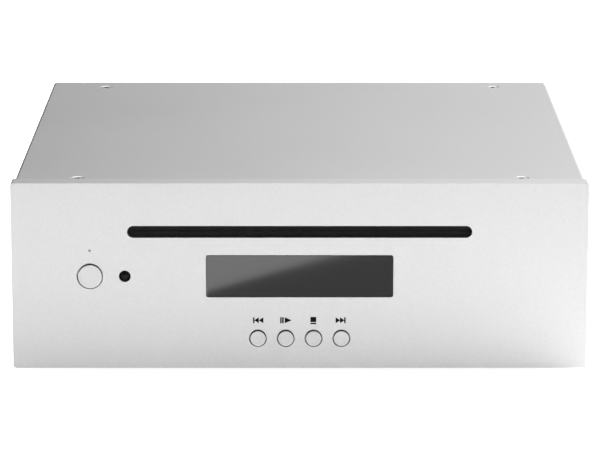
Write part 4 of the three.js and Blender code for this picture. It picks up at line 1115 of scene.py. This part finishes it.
# ----------------------------------------------------------
# Main board: a green glass-fibre board with copper tracks under its solder mask. It carries five
# electrolytic cans, three chips on tinned legs, rows of small parts and the ribbon's header.
# ----------------------------------------------------------
BOARD = 1.6 * MM
mask_finish = Finish("green_solder_mask")
track_rows = {"Scale": 1.0, "Mortar Size": 0.2 * MM, "Brick Width": 7.4 * MM, "Row Height": 2.1 * MM}
track_rows["Vector"] = mask_finish.place()
track_settings = {"offset": 0.37, "squash": 0.6, "squash_frequency": 3}
tracks = mask_finish.node("TexBrick", track_settings, track_rows, out="Fac")
copper_planes = mask_finish.noise(mask_finish.place(), 55, 2, 0.4)
copper = tracks * 0.8 + mask_finish.spread(copper_planes, 0.52, 0.54, 0.0, 1.0) * 0.4
weave = mask_finish.noise(mask_finish.place((1, 1, 8)), 1500, 2, 0.6)
cover_share = copper + (weave - 0.5) * 0.2
mask_colour = mask_finish.mix(cover_share, (0.004, 0.040, 0.018), (0.012, 0.105, 0.040))
mask_relief = mask_finish.bump(copper + weave * 0.2, 0.03 * MM, 0.4)
mask_finish.surface(Base_Color=mask_colour, Roughness=weave * 0.14 + 0.24, Normal=mask_relief, IOR=1.5)
sleeve_finish = plastic("dark_can_sleeve", (0.008, 0.010, 0.022), (0.018, 0.022, 0.045), 0.28)
can_finish = metal("bare_can_aluminium", (0.60, 0.60, 0.61), (0.76, 0.76, 0.77), 0.24)
chip_finish = plastic("moulded_chip_epoxy", (0.012, 0.012, 0.012), (0.030, 0.030, 0.030), 0.48)
header_finish = plastic("cream_header", (0.62, 0.58, 0.47), (0.72, 0.68, 0.57), 0.38)
ceramic_finish = plastic("brown_ceramic", (0.16, 0.095, 0.050), (0.24, 0.15, 0.085), 0.42)
black_looks = ("chassis", "black_plastic")
tin_looks = (tin_finish, "chassis", "steel")

board_top = board_low.z + BOARD
plate_high = (board_high.x, board_high.y, board_top)
mask_looks = (mask_finish, "chassis", "board")
block_piece("main_board_plate", board_low, plate_high, 0.15 * MM, *mask_looks, ["main_board"])

CAN_RADIUS = 4.5 * MM
CAN_HEIGHT = 12 * MM
CAN_PLACES = (-48, -36, 30, 42, 54)
can_top = board_top + CAN_HEIGHT
can_y = board_high.y - 30 * MM
sleeve = outline_mm(board_top, (0, 0), (4.5, 0), (4.5, 1.4), (4.15, 1.8), (4.5, 2.2))
sleeve += upper_rim(CAN_RADIUS, can_top, 0.6 * MM) + outline_mm(can_top, (3.4, 0), (3.4, -0.2), (0, -0.2))
lid = outline_mm(can_top, (0, -0.2), (3.3, -0.2), (3.3, -0.1), (0, -0.1))
for number, can_x in enumerate(CAN_PLACES, 1):
    place = (can_x * MM, can_y, 0)
    turned_piece(f"can_sleeve_{number}", sleeve, 40, "Z", place, sleeve_finish, *black_looks)
    turned_piece(f"can_lid_{number}", lid, 40, "Z", place, can_finish, "chassis", "steel")

# The chips: the x and y of their middle and their width, in mm.
CHIPS = ((-30, 10, 12), (0, 30, 10), (28, 12, 8))
LEG_PITCH = 0.8 * MM
leg_size = Matrix.Diagonal((1.2 * MM, 0.3 * MM, 0.4 * MM, 1))
legs_mesh = bmesh.new()
for number, (chip_x, chip_y, chip_width) in enumerate(CHIPS, 1):
    half = chip_width / 2 * MM
    x, y = chip_x * MM, chip_y * MM
    chip_low = (x - half, y - half, board_top + 0.1 * MM)
    chip_high = (x + half, y + half, board_top + 1.4 * MM)
    block_piece(f"chip_{number}", chip_low, chip_high, 0.15 * MM, chip_finish, *black_looks)
    count = int(2 * half / LEG_PITCH) - 2
    for leg in range(count):
        along = (leg - (count - 1) / 2) * LEG_PITCH
        for quarter in range(4):
            turn = Matrix.Rotation(quarter * pi / 2, 4, "Z")
            out = Matrix.Translation((half + 0.4 * MM, along, 0))
            place = Matrix.Translation((x, y, board_top + 0.2 * MM)) @ turn @ out
            bmesh.ops.create_cube(legs_mesh, size=1, matrix=place @ leg_size)
add_piece(legs_mesh, "chip_legs", *tin_looks)

# The rows of small parts: the x and y of the first one, their number and their pitch, in mm. The
# two kinds take turns along a row.
PART_ROWS = ((-52, 62, 9, 4.0), (-52, 40, 9, 4.0), (8, 62, 9, 4.2), (-50, -14, 7, 3.8), (34, -14, 7, 3.8))
PART_SIZES = (
    (ceramic_finish, 0.9 * MM, 1.7 * MM, 0.8 * MM),
    (chip_finish, 1.3 * MM, 2.2 * MM, 0.5 * MM),
)
for kind, (finish, width, length, height) in enumerate(PART_SIZES):
    smalls = bmesh.new()
    ends = bmesh.new()
    size = Vector((width, length, height))
    end_size = Vector((width + 0.06 * MM, 0.5 * MM, height + 0.03 * MM))
    for x0, y0, count, pitch in PART_ROWS:
        for number in range(kind, count, 2):
            x, y = (x0 + number * pitch) * MM, (y0 - 4 * kind) * MM
            corner = Vector((x - width / 2, y - length / 2, board_top))
            block(smalls, corner, corner + size, 0.08 * MM)
            for end_y in (y - length / 2, y + length / 2):
                corner = Vector((x - end_size.x / 2, end_y - end_size.y / 2, board_top))
                block(ends, corner, corner + end_size, 0.05 * MM)
    add_piece(smalls, f"small_parts_{kind + 1}", finish, *black_looks)
    add_piece(ends, f"small_part_ends_{kind + 1}", *tin_looks)

# The header's floor, its two long walls and its two ends, as corners in mm.
header = bmesh.new()
header_y = board_low.y + 6.5 * MM
for low, high in (
    ((-20, -2.5, 0), (20, 2.5, 1.4)),
    ((-20, -2.5, 1.2), (20, -1.3, 4.8)),
    ((-20, 1.3, 1.2), (20, 2.5, 4.8)),
    ((-20, -2.5, 1.2), (-16.2, 2.5, 5)),
    ((16.2, -2.5, 1.2), (20, 2.5, 5)),
):
    corners = [(x * MM, header_y + y * MM, board_top + z * MM) for x, y, z in (low, high)]
    block(header, *corners, 0.2 * MM)
add_piece(header, "ribbon_header", header_finish, "chassis", "white_plastic")

# ----------------------------------------------------------
# Control board and power key board: two small green boards behind the panel. They carry a push
# switch behind each key, the infrared receiver and the lamp behind the light pipe.
# ----------------------------------------------------------
board_y0 = panel_rear_y + 1.2 * MM
board_y1 = board_y0 + BOARD
switch_finish = plastic("grey_switch_case", (0.045, 0.045, 0.047), (0.075, 0.075, 0.078), 0.34)
plunger_finish = plastic("brown_switch_plunger", (0.10, 0.045, 0.025), (0.15, 0.070, 0.040), 0.38)
for name, node in (("control_board_plate", "control_board"), ("power_board_plate", "power_key_board")):
    low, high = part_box(node)
    front, back = (low.x, board_y0, low.z), (high.x, board_y1, high.z)
    block_piece(name, front, back, 0.15 * MM, *mask_looks, [node])
SWITCH_HALF = 3 * MM
grey_looks = ("chassis", "grey_module")
for key in KEY_BODIES:
    x, z = middle(key).x, middle(key).z
    case_low = (x - SWITCH_HALF, board_y0 - 0.9 * MM, z - SWITCH_HALF)
    case_high = (x + SWITCH_HALF, board_y0, z + SWITCH_HALF)
    case_name = key.replace("button", "switch_case")
    block_piece(case_name, case_low, case_high, 0.15 * MM, switch_finish, *grey_looks)
    outline = outline_mm(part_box(key)[1].y, (0, 0.8), (0.8, 0.8), (1.0, 0.9))
    outline += outline_mm(board_y0, (1.2, -0.8), (0, -0.8))
    plunger_name = key.replace("button", "switch_plunger")
    turned_piece(plunger_name, outline, 32, "Y", (x, 0, z), plunger_finish, *black_looks)

lamp_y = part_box("power_key_board")[0].y
receiver_low = (infrared.x - 2.5 * MM, lamp_y + 0.6 * MM, infrared.z - 3 * MM)
receiver_high = (infrared.x + 2.5 * MM, board_y0, infrared.z + 3 * MM)
receiver_looks = (infrared_finish, "chassis", "gloss_window")
block_piece("infrared_receiver", receiver_low, receiver_high, 0.3 * MM, *receiver_looks)
outline = outline_mm(lamp_y, (0, 0), (0.8, 0.15), (1.3, 0.6), (1.5, 1.2))
outline += [(1.5 * MM, board_y0), (0, board_y0)]
lamp_looks = (pipe_finish, "chassis", "clear_light_pipe")
turned_piece("standby_lamp", outline, 32, "Y", light_centre, *lamp_looks)

# ----------------------------------------------------------
# Display module: a dark glass with a sealing frame round it, clipped to the control board. The
# ribbon cable is a white film with tinned conductors that runs back to the main board.
# ----------------------------------------------------------
module_low, module_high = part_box("display_module")
frame_finish = plastic("grey_module_frame", (0.070, 0.070, 0.073), (0.105, 0.105, 0.110), 0.45)
glass_tints = ((0.006, 0.009, 0.009), (0.013, 0.018, 0.018))
glass_finish = hazy("dark_display_glass", [240, 3, 0.6], *glass_tints, 0.06, 0.06, IOR=1.5)
RIM = 3.0 * MM
module_frame = bmesh.new()
for low, high in (
    (module_low, (module_high.x, module_high.y, module_low.z + RIM)),
    ((module_low.x, module_low.y, module_high.z - RIM), module_high),
    (module_low, (module_low.x + RIM, module_high.y, module_high.z)),
    ((module_high.x - RIM, module_low.y, module_low.z), module_high),
):
    block(module_frame, low, high, 0.2 * MM)
add_piece(module_frame, "display_frame", frame_finish, *grey_looks, ["display_module"])
glass_inset = RIM - 0.5 * MM
glass_low = module_low + Vector((glass_inset, 0.3 * MM, glass_inset))
glass_high = module_high - Vector((glass_inset, 0.3 * MM, glass_inset))
block_piece("display_glass", glass_low, glass_high, 0.1 * MM, glass_finish, "chassis", "gloss_window")

CONDUCTOR_PITCH = 1.25 * MM
film_finish = Finish("ribbon_film")
film_x = film_finish.node("SeparateXYZ", {}, {0: film_finish.place()}, out="X")
film_fold = film_finish.math("PINGPONG", film_x, CONDUCTOR_PITCH / 2)
conductor = film_finish.spread(film_fold, 0.30 * MM, 0.36 * MM, 0.0, 1.0)
film_marks = film_finish.noise(film_finish.place((4, 1, 1)), 400, 3, 0.6)
film_tint = film_finish.mix(conductor * 0.8 + film_marks * 0.2, (0.70, 0.70, 0.67), (0.42, 0.43, 0.44))
film_finish.surface(Base_Color=film_tint, Roughness=film_marks * 0.15 + 0.3)
film_finish.surface(Normal=film_finish.bump(conductor + film_marks * 0.2, 0.06 * MM, 0.5))
dress(film_finish, "ribbon_cable", edge=0.05 * MM)

# ----------------------------------------------------------
# Mechanism frame and lid: folded galvanised steel that carries the loading mechanism. Plastic
# rails on both walls guide the disc's edge, and a plastic slider on the left wall sets the mode.
# ----------------------------------------------------------
mech_finish = zinc_steel("galvanised_mechanism", 0.52, 0.32)
dress(mech_finish, "mech_frame", "mech_lid")
rail_finish = plastic("grey_black_acetal", (0.018, 0.018, 0.019), (0.036, 0.036, 0.037), 0.36, 800)
dress(rail_finish, "disc_guide_left", "disc_guide_right", "mode_slider", edge=0.2 * MM)

# ----------------------------------------------------------
# Traverse deck: a zinc die-casting that floats on four rubber dampers, each with a shoulder
# screw. It carries the ground steel guide rods, both motors and the disc turntable.
# ----------------------------------------------------------
casting_finish = metal("die_cast_zinc", (0.30, 0.30, 0.31), (0.46, 0.46, 0.47), 0.46, 500)
dress(casting_finish, "traverse_deck", edge=0.2 * MM)
rod_finish = metal("ground_rod_steel", (0.62, 0.62, 0.62), (0.74, 0.74, 0.74), 0.10, 2500)
motor_finish = metal("nickel_motor_can", (0.50, 0.49, 0.47), (0.64, 0.63, 0.60), 0.22)


def rod_outline(radius, start, end):
    """A ground rod between two places on its axis, with a chamfer at each end."""
    chamfer = 0.3 * MM
    near = [(0, start), (radius - chamfer, start), (radius, start + chamfer)]
    return near + [(radius, end - chamfer), (radius - chamfer, end), (0, end)]


for side in ("left", "right"):
    node = "guide_rod_" + side
    low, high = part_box(node)
    outline = rod_outline((high.x - low.x) / 2, low.y, high.y)
    centre = (middle(node).x, 0, middle(node).z)
    turned_piece(node + "_ground", outline, 48, "Y", centre, rod_finish, "chassis", "steel", [node])

for place_name in ("front_left", "front_right", "rear_left", "rear_right"):
    node = "damper_" + place_name
    low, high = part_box(node)
    radius = (high.x - low.x) / 2
    bush = [(1.6 * MM, low.z)] + rounded_rim(radius, low.z, 0.4 * MM)
    bush += [(radius - 0.6 * MM, middle(node).z)] + upper_rim(radius, high.z, 0.4 * MM)
    bush += [(1.6 * MM, high.z), bush[0]]
    bush_looks = (rubber_finish, "chassis", "rubber", [node])
    turned_piece(node + "_bush", bush, 40, "Z", upright(node), *bush_looks)
    deck_top = high.z + 1.8 * MM
    screw = [(0, low.z), (1.5 * MM, low.z)] + outline_mm(deck_top, (1.5, 0), (2.9, 0))
    screw += upper_rim(2.9 * MM, deck_top + 1.1 * MM, 0.5 * MM)
    screw += outline_mm(deck_top, (1.1, 1.1), (1.1, 0.5), (0, 0.5))
    turned_piece(node + "_screw", screw, 40, "Z", upright(node), screw_finish, "chassis", "steel")


def motor_can(name, node, radius, boss, bore, neck):
    """A drawn can with a rounded shoulder, a raised boss and a bore for its shaft."""
    low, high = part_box(node)
    can_top = high.z - neck
    outline = [(bore, low.z + 0.4 * MM), (bore + 0.6 * MM, low.z)]
    outline += rounded_rim(radius, low.z, 0.6 * MM, 4) + upper_rim(radius, can_top, 0.4 * MM)
    outline += [(boss, can_top), (boss, high.z - 0.2 * MM), (boss - 0.2 * MM, high.z), (bore, high.z)]
    looks = (motor_finish, "chassis", "steel", [node])
    turned_piece(name, outline + outline[:1], 64, "Z", upright(node), *looks)


motor_can("spindle_motor_can", "spindle_motor", 11 * MM, 4.6 * MM, 1.1 * MM, 2 * MM)
motor_can("sled_motor_can", "sled_motor", 6 * MM, 1.6 * MM, 0.9 * MM, 2 * MM)

# ----------------------------------------------------------
# Turntable: a moulded hub on the spindle motor's steel shaft, with a cone that centres the disc
# and a thin rubber ring that grips it.
# ----------------------------------------------------------
table_low, table_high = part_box("turntable")
seat_z = table_high.z - 2.3 * MM
plate_z = seat_z - 2.2 * MM
hub_bottom = table_low.z + 6.5 * MM
hub_finish = plastic("black_turntable_hub", (0.012, 0.012, 0.013), (0.028, 0.028, 0.029), 0.34, 900)
hub = outline_mm(hub_bottom, (0, 0), (4.8, 0), (5, 0.2)) + [(5 * MM, plate_z)]
hub += rounded_rim(14 * MM, plate_z, 0.4 * MM) + upper_rim(14 * MM, seat_z - 0.05 * MM, 0.3 * MM)
hub += outline_mm(seat_z, (12.8, -0.05), (12.8, -0.6), (8.2, -0.6), (8.2, -0.05), (7.4, -0.05))
hub += outline_mm(seat_z, (7.4, 1.2), (7.1, 1.5), (5.5, 2.2))
hub += outline_mm(table_high.z, (5.1, 0), (2, 0), (1.6, -0.5), (0, -0.5))
hub_looks = (hub_finish, "disc_table", "black_plastic", ["turntable"])
turned_piece("turntable_hub", hub, 64, "Z", upright("turntable"), *hub_looks)
grip = outline_mm(seat_z, (8.3, -0.6), (12.7, -0.6), (12.7, -0.1), (12.4, 0), (8.6, 0), (8.3, -0.1))
grip_looks = (rubber_finish, "disc_table", "rubber")
turned_piece("turntable_grip", grip + grip[:1], 64, "Z", upright("turntable"), *grip_looks)
shaft = outline_mm(table_low.z, (0, 0), (0.8, 0), (1, 0.2)) + outline_mm(hub_bottom, (1, 0.1), (0, 0.1))
shaft_looks = (rod_finish, "disc_table", "steel")
turned_piece("turntable_shaft", shaft, 32, "Z", upright("turntable"), *shaft_looks)

# ----------------------------------------------------------
# Gears: white acetal wheels and turned brass pinions with involute teeth. The sled's rack is
# driven through the feed gear and the roller through its own wheel.
# ----------------------------------------------------------
acetal_finish = plastic("white_acetal", (0.66, 0.65, 0.60), (0.76, 0.75, 0.70), 0.34, 700)
brass_finish = metal("turned_brass", (0.56, 0.38, 0.13), (0.72, 0.51, 0.20), 0.20, 1200)
dress(acetal_finish, "feed_gear", "roller_gear", edge=0.06 * MM)
dress(brass_finish, "sled_pinion", "load_pinion", edge=0.06 * MM)

# ----------------------------------------------------------
# Pickup: a zinc sled that slides on two rods. Its black lens holder carries a small coated lens
# and two copper focus coils between the sled's magnets.
# ----------------------------------------------------------
dress(casting_finish, "pickup_sled", edge=0.1 * MM)
dress(black_finish, "lens_holder", edge=0.15 * MM)
EYE_RADIUS = 1.35 * MM
EYE_RISE = 0.34 * MM
holder_low, holder_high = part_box("lens_holder")
coating_tints = ((0.030, 0.050, 0.110), (0.050, 0.030, 0.120))
coated_glass = hazy("coated_pickup_glass", [500], *coating_tints, 0.03, 0.02, IOR=1.7)
eye_rim = holder_high.z - 0.35 * MM
eye = outline_mm(holder_high.z, (0, -0.5), (1.35, -0.5))
for angle in (0, 0.4, 0.8, 1.2):
    eye.append((EYE_RADIUS * cos(angle), eye_rim + EYE_RISE * sin(angle)))
eye += outline_mm(holder_high.z, (0, -0.01))
eye_looks = (coated_glass, "lens", "gloss_window")
turned_piece("pickup_eye", eye, 40, "Z", upright("lens_holder"), *eye_looks)
coil_finish = metal("copper_coil", (0.52, 0.20, 0.09), (0.74, 0.32, 0.15), 0.30, 2600)
coil_half = Vector((0.375, 2.6, 0.6)) * MM
for side_name, side in (("left", -1), ("right", 1)):
    coil_middle = upright("lens_holder") + Vector((side * 4.925 * MM, 0, holder_low.z + 0.8 * MM))
    coil_ends = (coil_middle - coil_half, coil_middle + coil_half)
    block_piece("focus_coil_" + side_name, *coil_ends, 0.25 * MM, coil_finish, "lens", "brass_pinion")

# ----------------------------------------------------------
# Feed roller and its arm: a pressed steel arm that swings on two pins, a waisted rubber roller
# on a steel shaft, and the loading motor in the arm's cradle.
# ----------------------------------------------------------
dress(mech_finish, "roller_arm")
ROLLER_HALF = 59
SHAFT_RADIUS = 1.5
roller_low, roller_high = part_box("feed_roller")
roller_centre = (0, middle("feed_roller").y, middle("feed_roller").z)
full = (roller_high.z - roller_low.z) / 2 / MM
skin = [(SHAFT_RADIUS, -ROLLER_HALF), (full - 0.4, -ROLLER_HALF), (full, 0.4 - ROLLER_HALF)]
skin += [(full - 0.7, 0), (full, ROLLER_HALF - 0.4), (full - 0.4, ROLLER_HALF), (SHAFT_RADIUS, ROLLER_HALF)]
skin = outline_mm(0, *skin, skin[0])
skin_looks = (rubber_finish, "roller", "rubber", ["feed_roller"])
turned_piece("feed_roller_rubber", skin, 56, "X", roller_centre, *skin_looks)
shaft = rod_outline(SHAFT_RADIUS * MM, roller_low.x, roller_high.x)
turned_piece("feed_roller_shaft", shaft, 40, "X", roller_centre, rod_finish, "roller", "steel")

load_low, load_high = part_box("load_motor")
load_radius = (load_high.z - load_low.z) / 2
load_centre = (0, middle("load_motor").y, middle("load_motor").z)
can = outline_mm(load_low.x, (0.9, 0.3), (1.4, 0)) + rounded_rim(load_radius, load_low.x, 0.6 * MM, 4)
can += upper_rim(load_radius, load_high.x, 0.3 * MM) + [(0.9 * MM, load_high.x), can[0]]
load_looks = (motor_finish, "feed_arm", "steel", ["load_motor"])
turned_piece("load_motor_can", can, 56, "X", load_centre, *load_looks)

# ----------------------------------------------------------
# Clamp: a pressed steel arm over the disc, hinged on the lid. The white clamper hangs loose in
# the arm's ring and turns with the disc.
# ----------------------------------------------------------
dress(mech_finish, "clamp_arm")
clamp_low, clamp_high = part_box("clamper")
puck = outline_mm(clamp_low.z, (0, 3), (8.6, 3), (8.6, 0.2), (8.8, 0), (12.3, 0), (12.5, 0.2))
puck += outline_mm(clamp_low.z, (12.5, 2.6), (12.3, 2.85), (5, 4.5))
puck += outline_mm(clamp_high.z, (5, -1.1), (7.3, -1.1))
puck += upper_rim(7.5 * MM, clamp_high.z, 0.3 * MM)
puck += outline_mm(clamp_high.z, (2, 0), (2, -0.3), (0, -0.3))
puck_looks = (acetal_finish, "disc_clamp", "white_plastic", ["clamper"])
turned_piece("clamper_puck", puck, 64, "Z", upright("clamper"), *puck_looks)
